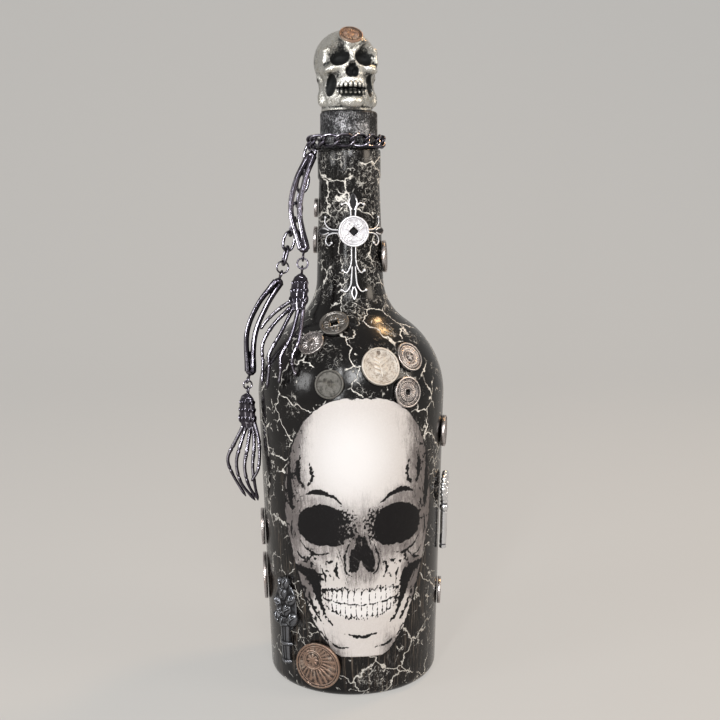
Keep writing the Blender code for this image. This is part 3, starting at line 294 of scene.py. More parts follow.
def crackle_paint():
    """Black gloss paint that has torn open over a cream ground, with streaks run down it."""
    paint = Finish("crackle_painted_glass", IOR=1.35)
    height = paint.axis("Z")
    neck = paint.step(height, 178.0, 205.0)
    low = paint.step(height, 135.0, 85.0)
    cracks = crackle(paint, neck, low)
    # Grey rubbed into the black paint in random patches, more of it on the neck
    rubbing_and_highlight = paint.step(paint.noise(1.4, 4.0, 0.75, (1.0, 1.0, 0.3)), 0.52, 0.72)
    rubbing_and_highlight = rubbing_and_highlight * paint.step(paint.noise(22.0, 3.0) + neck * 0.10, 0.50, 0.64)
    streaks = paint.step(paint.noise(1.0, 3.0, 0.65, (1.0, 1.0, 0.05)), 0.50, 0.70) * low
    streaks = streaks * paint.step(paint.noise(18.0, 3.0, 0.6, (1.0, 1.0, 0.5)), 0.38, 0.58)
    run = paint.mixed(paint.noise(9.0), (0.105, 0.062, 0.034), (0.17, 0.155, 0.135))
    cream = paint.mixed(paint.noise(3.0), (0.60, 0.57, 0.50), (0.84, 0.82, 0.79))
    ground = paint.mixed(paint.noise(20.0, 3.0), (0.002, 0.002, 0.002), (0.007, 0.006, 0.006))
    ground = paint.mixed(rubbing_and_highlight * 0.32, ground, (0.24, 0.23, 0.22))
    ground = paint.mixed(streaks * 0.55, ground, run)
    paint.set("Base Color", paint.mixed(cracks, ground, cream))
    paint.set("Roughness", cracks * 0.34 + rubbing_and_highlight * 0.20 + paint.noise(9.0) * 0.12 + 0.10)
    lumps = paint.noise(6.0, 4.0) * 0.6 + rubbing_and_highlight * 0.25 - cracks * 0.8
    paint.set("Normal", paint.bump(lumps, 0.3, 0.6))
    return paint.material


def cast_metal(name, bright, dark, roughness, stain=0.0, stain_colour=(0.2, 0.1, 0.05),
               pitted=0.0, shine=1.0):
    """Metal with dark left in its hollows and pits, and worn bright on what stands proud."""
    metal = Finish(name)
    hollow = metal.attribute("hollow")
    mottle = metal.noise(1.6, 4.0, 0.65)
    worn = metal.noise(6.0, 3.0)
    pits = metal.noise(0.9, 5.0, 0.8)
    depth = metal.step(hollow + (mottle - 0.5) * 0.35 + (pits - 0.5) * pitted, 0.28, 0.72)
    colour = metal.mixed(worn, bright, tuple(part * 0.72 for part in bright))
    if stain:
        colour = metal.mixed(metal.step(metal.noise(3.5, 3.0), 0.5, 0.7) * stain, colour,
                             stain_colour)
    metal.set("Base Color", metal.mixed(depth, colour, dark))
    metal.set("Metallic", (1.0 - depth * 0.6) * shine)
    metal.set("Roughness", depth * 0.40 + mottle * 0.14 + (roughness - 0.07))
    metal.set("Normal", metal.bump(metal.noise(0.5, 3.0) + pits * pitted * 2.0, 0.08, 0.7))
    return metal.material


def dry_brushed():
    """Matte black dry brushed with silver along its fine ribs."""
    paint = Finish("dry_brushed_black", IOR=1.3)
    grain = paint.noise(0.45, 4.0, 0.8, (1.0, 1.0, 0.5))
    patch = paint.noise(8.0, 3.0)
    brushed = paint.step(grain + (patch - 0.5) * 0.6, 0.47, 0.70)
    paint.set("Base Color", paint.mixed(brushed, (0.008, 0.008, 0.009), (0.52, 0.52, 0.54)))
    paint.set("Metallic", brushed * 0.85)
    paint.set("Roughness", 0.60 - brushed * 0.25)
    paint.set("Normal", paint.bump(grain, 0.15, 0.8))
    return paint.material


def printed_paper():
    """The pasted print: ink and wash kept at its points, on bone white paper under varnish."""
    paper = Finish("pasted_print", IOR=1.3)
    ink, wash, light = [paper.attribute(name) for name in ("ink", "wash", "light")]
    grain = paper.noise(0.8, 4.0, 0.75)
    fine = paper.noise(0.3, 3.0, 0.6)
    scratch = paper.noise(0.55, 4.0, 0.8, (1.0, 1.0, 0.14))
    bone = paper.mixed(grain, (0.44, 0.405, 0.385), (0.60, 0.575, 0.56))
    shade = paper.mixed(paper.noise(4.0), (0.075, 0.067, 0.066), (0.18, 0.16, 0.155))
    depth = paper.step(wash + (fine - 0.5) * 0.5 + (scratch - 0.5) * 0.8, 0.14, 0.80)
    colour = paper.mixed(depth, bone, shade)
    colour = paper.mixed(light * 0.85, colour, (0.70, 0.69, 0.69))
    pressed = paper.step(ink + (fine - 0.5) * 0.5, 0.32, 0.68)
    colour = paper.mixed(pressed, colour, (0.004, 0.0035, 0.004))
    worn = paper.step(paper.noise(0.42, 4.0, 0.8), 0.62, 0.70) * pressed * 0.30
    colour = paper.mixed(worn, colour, (0.30, 0.28, 0.28))
    paper.set("Base Color", colour)
    paper.set("Roughness", 0.46 - pressed * 0.14 + grain * 0.10)
    paper.set("Normal", paper.bump(paper.noise(6.0, 4.0) + grain * 0.2, 0.12, 0.4))
    return paper.material


def white_liner():
    """The white foam of the disc inside the cap."""
    foam = Finish("liner_white", Roughness=0.6)
    grain = foam.noise(0.8)
    foam.set("Base Color", foam.mixed(grain, (0.68, 0.68, 0.65), (0.76, 0.76, 0.73)))
    return foam.material


def polished_links():
    """Black nickel plate with a faint violet cast, and a painted highlight along the side that
    faces the lamps.
    """
    plate = Finish("gunmetal", Metallic=1.0)
    hollow = plate.attribute("hollow")
    rubbing_and_highlight = plate.attribute("rubbing_and_highlight")
    mottle = plate.noise(3.0, 3.0)
    depth = plate.step(hollow, 0.35, 0.8)
    colour = plate.mixed(mottle, (0.048, 0.044, 0.055), (0.085, 0.077, 0.098))
    colour = plate.mixed(depth, colour, (0.008, 0.007, 0.010))
    # Painted highlight: a pale line where the surface faces the lamps, broken up by noise and kept
    # off the hollows
    rubbing_and_highlight = rubbing_and_highlight * plate.step(plate.noise(1.8, 4.0, 0.7), 0.30, 0.50)
    rubbing_and_highlight = rubbing_and_highlight * plate.step(hollow, 0.33, 0.22)
    plate.set("Base Color", plate.mixed(rubbing_and_highlight, colour, (0.66, 0.63, 0.72)))
    plate.set("Roughness", depth * 0.2 + mottle * 0.10 + 0.08)
    return plate.material


FINISHES = {
    "crackle_painted_glass": crackle_paint(),
    "dry_brushed_black": dry_brushed(),
    "liner_white": white_liner(),
    "antique_silver": cast_metal("antique_silver", (0.70, 0.69, 0.65), (0.006, 0.007, 0.007),
                                 0.27, 0.5, (0.40, 0.36, 0.27), pitted=1.7),
    "copper_coin": cast_metal("copper_coin", (0.40, 0.27, 0.205), (0.032, 0.020, 0.016), 0.36,
                              0.6, (0.50, 0.44, 0.38), pitted=1.2),
    "pasted_print": printed_paper(),
    "dark_silver": cast_metal("dark_silver", (0.88, 0.88, 0.92), (0.010, 0.010, 0.012), 0.34,
                              shine=0.6),
    "dull_grey": cast_metal("dull_grey", (0.12, 0.115, 0.105), (0.05, 0.047, 0.042), 0.50, 0.5,
                            (0.075, 0.068, 0.055), pitted=1.2),
    "black_relief": cast_metal("black_relief", (0.22, 0.225, 0.245), (0.004, 0.004, 0.005), 0.16,
                               pitted=0.3),
    "bright_silver": cast_metal("bright_silver", (0.84, 0.84, 0.86), (0.06, 0.06, 0.07), 0.24),
    "coin_silver": cast_metal("coin_silver", (0.56, 0.52, 0.51), (0.035, 0.029, 0.029), 0.28, 0.35,
                              (0.45, 0.32, 0.25), pitted=0.5),
    "gunmetal": polished_links(),
}
PALE_COIN = cast_metal("pale_coin", (0.56, 0.52, 0.47), (0.23, 0.19, 0.155), 0.44, 0.5,
                       (0.45, 0.38, 0.31), pitted=1.3, shine=0.6)
OLD_COIN = cast_metal("old_coin", (0.27, 0.255, 0.24), (0.022, 0.020, 0.018), 0.30, 0.5,
                      (0.20, 0.17, 0.14), pitted=0.7)
WHITE_COIN = cast_metal("white_coin", (0.80, 0.79, 0.83), (0.26, 0.25, 0.27), 0.36, shine=0.6)


def alone(piece):
    """Leave only this piece selected and active."""
    bpy.ops.object.select_all(action="DESELECT")
    piece.select_set(True)
    bpy.context.view_layer.objects.active = piece


def fresh(name):
    """Name the primitive that was just added."""
    piece = bpy.context.object
    piece.name = name
    piece.data.name = name
    return piece


def points_of(piece):
    """The piece's points in millimetres."""
    spots = np.empty(len(piece.data.vertices) * 3)
    piece.data.vertices.foreach_get("co", spots)
    return spots.reshape(-1, 3) / MM


def move_points(piece, spots):
    """Give the piece new points, in millimetres."""
    piece.data.vertices.foreach_set("co", (np.asarray(spots) * MM).ravel())
    piece.data.update()


def mark(piece, name, values):
    """Keep a number at each of the piece's points."""
    layer = piece.data.attributes.new(name, "FLOAT", "POINT")
    layer.data.foreach_set("value", np.asarray(values, dtype=np.float32))


def tidy(piece, weld=0.01, angle=40.0):
    """Weld what coincides, turn the faces outwards and round the shading."""
    alone(piece)
    bpy.ops.object.mode_set(mode="EDIT")
    bpy.ops.mesh.select_all(action="SELECT")
    bpy.ops.mesh.remove_doubles(threshold=weld * MM)
    bpy.ops.mesh.normals_make_consistent(inside=False)
    bpy.ops.object.mode_set(mode="OBJECT")
    bpy.ops.object.shade_smooth_by_angle(angle=math.radians(angle))
    return piece


def apply_modifier(piece, kind, **settings):
    """Add a modifier and apply it."""
    alone(piece)
    change = piece.modifiers.new(kind.lower(), kind)
    for setting, value in settings.items():
        setattr(change, setting, value)
    bpy.ops.object.modifier_apply(modifier=change.name)


def joined(name, pieces):
    """Several pieces made one object."""
    alone(pieces[0])
    for piece in pieces:
        piece.select_set(True)
    bpy.ops.object.join()
    return fresh(name)


def fused(name, pieces, voxel, smoothing=2):
    """Pieces cast as one: joined, remeshed to a single skin and smoothed."""
    piece = joined(name, pieces)
    apply_modifier(piece, "REMESH", mode="VOXEL", voxel_size=voxel * MM)
    apply_modifier(piece, "SMOOTH", factor=0.5, iterations=smoothing)
    bpy.ops.object.shade_smooth()
    return piece


def turned(name, profile, segments, weld=0.01, angle=40.0):
    """A turned piece: a ring drawn step by step along a profile of (radius, height). A radius
    of 0 closes it on its axis, and a profile that ends where it starts closes it round."""
    least = 0.4 * weld
    bpy.ops.object.select_all(action="DESELECT")
    radius, height = max(profile[0][0], least), profile[0][1]
    bpy.ops.mesh.primitive_circle_add(vertices=segments, radius=radius * MM,
                                      location=(0.0, 0.0, height * MM))
    piece = fresh(name)
    bpy.ops.object.transform_apply(location=True)
    bpy.ops.object.mode_set(mode="EDIT")
    bpy.ops.mesh.select_all(action="SELECT")
    for reach, rise in profile[1:]:
        reach = max(reach, least)
        bpy.ops.mesh.extrude_region_move(
            TRANSFORM_OT_translate={"value": (0.0, 0.0, (rise - height) * MM)})
        bpy.ops.transform.resize(value=(reach / radius, reach / radius, 1.0),
                                 center_override=(0.0, 0.0, rise * MM))
        radius, height = reach, rise
    bpy.ops.object.mode_set(mode="OBJECT")
    return tidy(piece, weld, angle)


def arc(centre, radius, start, end, steps):
    """Points on a circle between two angles in degrees, ends included."""
    angles = [math.radians(start + (end - start) * step / steps) for step in range(steps + 1)]
    return [(centre[0] + radius * math.cos(angle), centre[1] + radius * math.sin(angle))
            for angle in angles]


def smooth_line(points, count):
    """Evenly spread points on a smooth line through the given ones."""
    knots = np.array(points, dtype=float)
    knots = np.vstack([2 * knots[0] - knots[1], knots, 2 * knots[-1] - knots[-2]])
    line = []
    for index in range(count):
        place = index * (len(points) - 1) / (count - 1)
        start = min(int(place), len(points) - 2)
        share = place - start
        before, first, second, after = knots[start:start + 4]
        line.append(0.5 * (2 * first + (second - before) * share
                           + (2 * before - 5 * first + 4 * second - after) * share ** 2
                           + (3 * first - before - 3 * second + after) * share ** 3))
    return np.array(line)


def drawn(name, points, radii, closed=False, sides=2, matrix=None):
    """A wire or limb along a line: a curve with a round bevel, made a mesh."""
    curve = bpy.data.curves.new(name, "CURVE")
    curve.dimensions = "3D"
    curve.bevel_depth = MM
    curve.bevel_resolution = sides
    curve.use_fill_caps = not closed
    spline = curve.splines.new("POLY")
    spline.points.add(len(points) - 1)
    if np.isscalar(radii):
        radii = [radii] * len(points)
    for spot, point, radius in zip(spline.points, points, radii):
        spot.co = (*(np.asarray(point) * MM), 1.0)
        spot.radius = radius
    spline.use_cyclic_u = closed
    piece = bpy.data.objects.new(name, curve)
    bpy.context.scene.collection.objects.link(piece)
    alone(piece)
    bpy.ops.object.convert(target="MESH")
    piece = bpy.context.object
    if matrix is not None:
        piece.data.transform(matrix)
    return tidy(piece, 0.005, 60.0)


def ball(name, centre, sizes, turn=None, matrix=None, smooth=3):
    """A rounded mass, drawn out to half sizes."""
    bpy.ops.object.select_all(action="DESELECT")
    bpy.ops.mesh.primitive_ico_sphere_add(subdivisions=smooth, radius=MM)
    piece = fresh(name)
    place = Matrix.Translation(Vector(centre) * MM)
    if turn is not None:
        place = place @ turn
    place = place @ Matrix.Diagonal((*sizes, 1.0))
    piece.data.transform(place)
    if matrix is not None:
        piece.data.transform(matrix)
    return piece


def normals_of(piece):
    """The direction that the surface faces at each point."""
    normals = np.empty(len(piece.data.vertices) * 3)
    piece.data.vertex_normals.foreach_get("vector", normals)
    return normals.reshape(-1, 3)


def paint_highlight(piece, way, least=HIGHLIGHT_LINE):
    """Mark the narrow line where the surface faces one way, where a highlight is painted."""
    way = np.array(way) / np.linalg.norm(way)
    mark(piece, "rubbing_and_highlight", soft(least, 0.985, normals_of(piece) @ way))


def hollows(piece, reach, gain, level=0.35):
    """Mark how hollow the surface is at each point, from 0 on what stands proud to 1."""
    mesh = piece.data
    spots = points_of(piece)
    normals = normals_of(piece)
    edges = np.empty(len(mesh.edges) * 2, dtype=int)
    mesh.edges.foreach_get("vertices", edges)
    first, second = edges.reshape(-1, 2).T
    span = spots[second] - spots[first]
    length = np.maximum(np.linalg.norm(span, axis=1), 1e-6)
    count = np.bincount(first, minlength=len(spots)) + np.bincount(second, minlength=len(spots))
    count = np.maximum(count, 1)
    bend = (np.bincount(first, np.sum(span * normals[first], axis=1) / length, len(spots))
            - np.bincount(second, np.sum(span * normals[second], axis=1) / length, len(spots)))
    bend = bend / count
    for _ in range(reach):
        spread = (np.bincount(first, bend[second], len(spots))
                  + np.bincount(second, bend[first], len(spots))) / count
        bend = 0.5 * bend + 0.5 * spread
    mark(piece, "hollow", np.clip(level + gain * bend, 0.0, 1.0))


def settle(piece, node, body, slot):
    """Finish a piece: it stands for a CAD node, rides on a body and has a slot's finish."""
    piece.data.materials.clear()
    piece.data.materials.append(FINISHES[slot])
    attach(piece, body)
    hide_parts(node)


# Glass

def shoulder_arcs():
    """Centres of the shoulder's and the neck root's arcs, which touch, and their angle."""
    shoulder = (BODY_RADIUS - SHOULDER_CURVE, SHOULDER_HEIGHT)
    reach = NECK_ROOT_RADIUS + ROOT_CURVE - shoulder[0]
    rise = math.sqrt((SHOULDER_CURVE + ROOT_CURVE) ** 2 - reach ** 2)
    root = (NECK_ROOT_RADIUS + ROOT_CURVE, SHOULDER_HEIGHT + rise)
    return shoulder, root, math.degrees(math.atan2(rise, reach))


def outer_line():
    """The glass from the rim of its base up to the collar's top."""
    shoulder, root, meet = shoulder_arcs()
    wall = [(FOOT_RADIUS + (BODY_RADIUS - FOOT_RADIUS) * share,
             HEEL_ROUND + (SHOULDER_HEIGHT - HEEL_ROUND) * share) for share in (0.25, 0.5, 0.75)]
    collar = [(NECK_TOP_RADIUS, COLLAR_BOTTOM - 1.0),
              (NECK_TOP_RADIUS + 0.15, COLLAR_BOTTOM - 0.5),
              (COLLAR_RADIUS - 0.2, COLLAR_BOTTOM - 0.1), (COLLAR_RADIUS, COLLAR_BOTTOM + 0.4),
              (COLLAR_RADIUS, COLLAR_TOP - 0.9), (COLLAR_RADIUS - 0.25, COLLAR_TOP - 0.3),
              (COLLAR_RADIUS - 0.9, COLLAR_TOP)]
    return (arc((FOOT_RADIUS - HEEL_ROUND, HEEL_ROUND), HEEL_ROUND, -90, 0, 8) + wall
            + arc(shoulder, SHOULDER_CURVE, 0, meet, 24)
            + arc(root, ROOT_CURVE, 180 + meet, 180, 16)[1:] + collar)


OUTER_LINE = np.array(outer_line())


def glass_radius(height):
    """Outer radius of the glass at a height, in millimetres."""
    return np.interp(height, OUTER_LINE[:, 1], OUTER_LINE[:, 0])


def facing(azimuth):
    """Horizontal direction of an azimuth in degrees: 0 to the front, 90 to +X."""
    angle = math.radians(azimuth)
    return Vector((math.sin(angle), -math.cos(angle), 0.0))


def thread(radius, start, wires):
    """The ridge of a screw thread, one and a half turns of it."""
    ridge = []
    for step in range(THREAD_STEPS + 1):
        angle = 2 * math.pi * step / TURN_STEPS
        ridge.append((radius * math.cos(angle), radius * math.sin(angle),
                      start + THREAD_PITCH * step / TURN_STEPS))
    return drawn("thread", ridge, wires, sides=1)


def glass():
    """The bottle with its hollow, its collar and the thread of its finish."""
    shoulder, root, meet = shoulder_arcs()
    heel = (FOOT_RADIUS - WALL - HEEL_ROUND, BASE_TOP + HEEL_ROUND)
    inside = ([(BORE_RADIUS, MOUTH_HEIGHT), (BORE_RADIUS, COLLAR_TOP),
               (NECK_TOP_RADIUS - WALL, COLLAR_BOTTOM), (root[0] - ROOT_CURVE - WALL, root[1])]
              + arc(root, ROOT_CURVE + WALL, 180, 180 + meet, 6)[1:]
              + arc(shoulder, SHOULDER_CURVE - WALL, meet, 0, 8)[1:]
              + arc(heel, HEEL_ROUND, 0, -90, 4) + [(0.0, BASE_TOP)])
    lip = [(FINISH_RADIUS, COLLAR_TOP + 0.01), (FINISH_RADIUS, MOUTH_HEIGHT - 0.8),
           (FINISH_RADIUS - 0.25, MOUTH_HEIGHT - 0.25), (FINISH_RADIUS - 0.8, MOUTH_HEIGHT)]
    bottle = turned("painted_glass", [(0.0, 0.0)] + outer_line() + lip + inside, 144, angle=50.0)
    fade = [0.45 + 0.35 * min(1.0, step / 6, (THREAD_STEPS - step) / 6)
            for step in range(THREAD_STEPS + 1)]
    bottle = joined("painted_glass", [bottle, thread(FINISH_RADIUS, NECK_THREAD, fade)])
    settle(bottle, "glass_bottle", "bottle", "crackle_painted_glass")


def tear_band():
    """The band that the cap leaves on the neck."""
    band = turned("tear_band", BAND_PROFILE, 96)
    settle(band, "tamper_band", "bottle", "dry_brushed_black")


def screw_cap():
    """The cap with its fine ribs, rounded edge and own thread, and the liner inside it."""
    profile = ([(0.0, CAP_CEILING), (CAP_BORE, CAP_CEILING), (CAP_BORE, CAP_FOOT),
                (CAP_RADIUS - 0.35, CAP_FOOT), (CAP_RADIUS, CAP_FOOT + 0.4)]
               + [(CAP_RADIUS, height) for height in (276.0, 280.0, 284.0)]
               + arc((CAP_RADIUS - CAP_ROUND, CAP_TOP - CAP_ROUND), CAP_ROUND, 0, 90, 6)
               + [(radius, CAP_TOP) for radius in (10.0, 7.0, 4.0, 0.0)])
    cap = turned("ribbed_cap", profile, 4 * CAP_RIBS)
    spots = points_of(cap)
    radius = np.hypot(spots[:, 0], spots[:, 1])
    angle = np.arctan2(spots[:, 1], spots[:, 0])
    side = np.clip((radius - CAP_BORE - 0.2) / 0.5, 0.0, 1.0)
    groove = RIB_DEPTH * (0.5 + 0.5 * np.cos(CAP_RIBS * angle)) * side
    spots[:, :2] *= (1 - groove / np.maximum(radius, 1.0))[:, None]
    move_points(cap, spots)
    cap = joined("ribbed_cap", [cap, thread(CAP_BORE, CAP_THREAD, 0.55)])
    settle(cap, "cap_shell", "cap", "dry_brushed_black")
    liner = turned("sealing_disc", LINER_PROFILE, 64)
    settle(liner, "cap_liner", "closure_liner", "liner_white")


# Skull print

# The edge of the print: height above its foot, half width
PRINT_OUTLINE = ((0.0, 10.7), (2.6, 14.8), (7.8, 18.9), (14.3, 23.0), (22.8, 27.1), (32.5, 30.8),
                 (44.2, 34.4), (55.9, 38.1), (71.5, 41.0), (88.4, 40.2), (101.4, 36.9),
                 (111.8, 32.4), (119.0, 27.5), (123.5, 22.6), (126.8, 17.6), (128.7, 12.7),
                 (130.0, 7.8))


def bumpy(x, y, seed):
    """Smooth noise between 0 and 1, one bump per unit."""
    table = np.random.RandomState(seed).rand(256, 256)
    column, row = np.floor(x).astype(int), np.floor(y).astype(int)
    across, up = x - column, y - row
    across, up = across ** 2 * (3 - 2 * across), up ** 2 * (3 - 2 * up)
    corners = [table[(row + over) % 256, (column + beside) % 256]
               for over in (0, 1) for beside in (0, 1)]
    low = corners[0] + (corners[1] - corners[0]) * across
    high = corners[2] + (corners[3] - corners[2]) * across
    return low + (high - low) * up


def cloud(x, y, size, seed, layers=3):
    """Noise of several sizes, roughly between -1 and 1."""
    total, weight, result = 0.0, 1.0, 0.0
    for layer in range(layers):
        scale = 2 ** layer / size
        result = result + weight * (bumpy(x * scale + 37.3 * layer + 100,
                                          y * scale + 11.7 * layer + 100, seed + layer) - 0.5)
        total += weight * 0.5
        weight *= 0.55
    return result / total


def soft(low, high, value):
    """A smooth step between two levels."""
    share = np.clip((value - low) / (high - low), 0, 1)
    return share * share * (3 - 2 * share)


def oval(x, y, centre, sizes, turn=0.0):
    """Roughly the distance outside an oval, negative inside it."""
    cosine, sine = math.cos(math.radians(turn)), math.sin(math.radians(turn))
    across, up = x - centre[0], y - centre[1]
    first = (across * cosine + up * sine) / sizes[0]
    second = (up * cosine - across * sine) / sizes[1]
    return (np.hypot(first, second) - 1) * min(sizes)


def brush(x, y, points, count=20):
    """Distance outside a brush stroke through points of (across, up, half width)."""
    path = smooth_line(points, count + 1)
    nearest = np.full(np.shape(x), 1e9)
    for start, end in zip(path[:-1], path[1:]):
        span = end[:2] - start[:2]
        share = ((x - start[0]) * span[0] + (y - start[1]) * span[1]) / (span @ span + 1e-9)
        share = np.clip(share, 0, 1)
        width = start[2] + (end[2] - start[2]) * share
        reach = np.hypot(x - start[0] - span[0] * share, y - start[1] - span[1] * share)
        nearest = np.minimum(nearest, reach - width)
    return nearest


# Brush strokes on one half of the drawing: points of (across, up, half width), edge, raggedness
STROKES = (
    (((31.5, 58.5, 0.1), (27.0, 54.0, 0.55), (21.0, 51.8, 0.45), (15.5, 53.2, 0.1)), 0.25, 0.4),
    (((8.5, 77.5, 0.1), (14.0, 81.8, 0.9), (21.0, 83.6, 1.3), (27.5, 82.0, 0.2)), 0.3, 0.5),
    (((35.2, 70.0, 0.1), (36.2, 63.0, 0.5), (35.4, 57.0, 0.1)), 0.25, 0.4),
    (((36.6, 99.0, 0.2), (37.3, 90.0, 1.4), (36.9, 80.0, 1.9), (35.6, 71.5, 0.3)), 0.4, 0.9),
    (((30.0, 101.0, 0.2), (31.5, 95.0, 1.3), (31.2, 89.5, 1.0), (29.4, 85.5, 0.2)), 0.4, 1.2),
    (((34.5, 44.5, 0.6), (29.0, 43.2, 2.2), (24.2, 40.0, 3.3), (22.0, 34.5, 2.4),
      (20.6, 28.0, 1.3), (18.0, 21.5, 0.8), (14.0, 16.5, 0.3)), 0.4, 1.1),
    (((25.0, 98.0, 0.2), (24.0, 91.0, 0.8), (26.0, 86.0, 0.4)), 0.4, 1.3),
    (((39.0, 62.0, 0.3), (38.2, 55.0, 1.3), (36.0, 50.5, 0.4)), 0.4, 0.8),
    (((23.5, 52.5, 0.1), (27.5, 48.0, 0.5), (32.0, 47.0, 0.2)), 0.3, 0.5),
    (((10.5, 40.0, 0.1), (12.5, 44.5, 0.8), (11.5, 48.5, 0.2)), 0.35, 0.8),
    (((33.6, 41.0, 0.7), (31.0, 34.5, 0.8), (28.4, 27.5, 0.5), (25.0, 20.0, 0.1)), 0.35, 0.9),
    (((26.5, 33.0, 0.1), (25.4, 27.5, 0.5), (22.6, 21.5, 0.6), (18.6, 16.0, 0.1)), 0.3, 0.9),
    (((33.5, 52.5, 0.1), (31.0, 49.8, 0.5), (26.5, 48.6, 0.1)), 0.25, 0.4),
    (((20.5, 47.0, 0.1), (17.8, 41.5, 0.5), (17.4, 36.0, 0.1)), 0.25, 0.5),
    (((13.5, 49.5, 0.1), (15.4, 48.2, 0.7), (17.2, 48.6, 0.1)), 0.25, 0.5),
    (((5.2, 60.0, 0.1), (8.2, 51.5, 0.45), (7.6, 44.5, 0.4), (4.5, 41.8, 0.1)), 0.22, 0.35),
    (((17.5, 9.0, 0.1), (12.0, 5.4, 0.5), (6.5, 4.4, 0.1)), 0.25, 0.6),
    (((21.5, 14.5, 0.1), (19.0, 10.0, 0.4), (17.2, 8.0, 0.1)), 0.25, 0.6),
)

# The drawing's teeth, from the middle outwards: width, share of the row's height
UPPER_TEETH = ((4.1, 1.0), (3.3, 0.94), (3.2, 1.04), (2.9, 0.9), (2.6, 0.82), (2.2, 0.74),
               (1.8, 0.64), (1.4, 0.52))
LOWER_TEETH = ((2.9, 1.0), (2.9, 0.94), (3.0, 1.04), (2.8, 0.9), (2.6, 0.82), (2.3, 0.74),
               (2.0, 0.64), (1.6, 0.52))

# Shade round the drawing's hollows: centre, sizes, turn, outer and inner edge, amount
SHADES = (
    ((19.5, 67.0), (13.0, 10.3), 0, 16.0, 2.0, 0.60),
    ((29.5, 37.0), (5.0, 8.0), 20, 7.0, 0.5, 0.85),
    ((3.5, 52.0), (4.0, 9.5), 0, 6.0, 0.5, 0.6),
    ((0.0, 81.0), (3.0, 8.0), 0, 5.5, 0.5, 0.55),
)


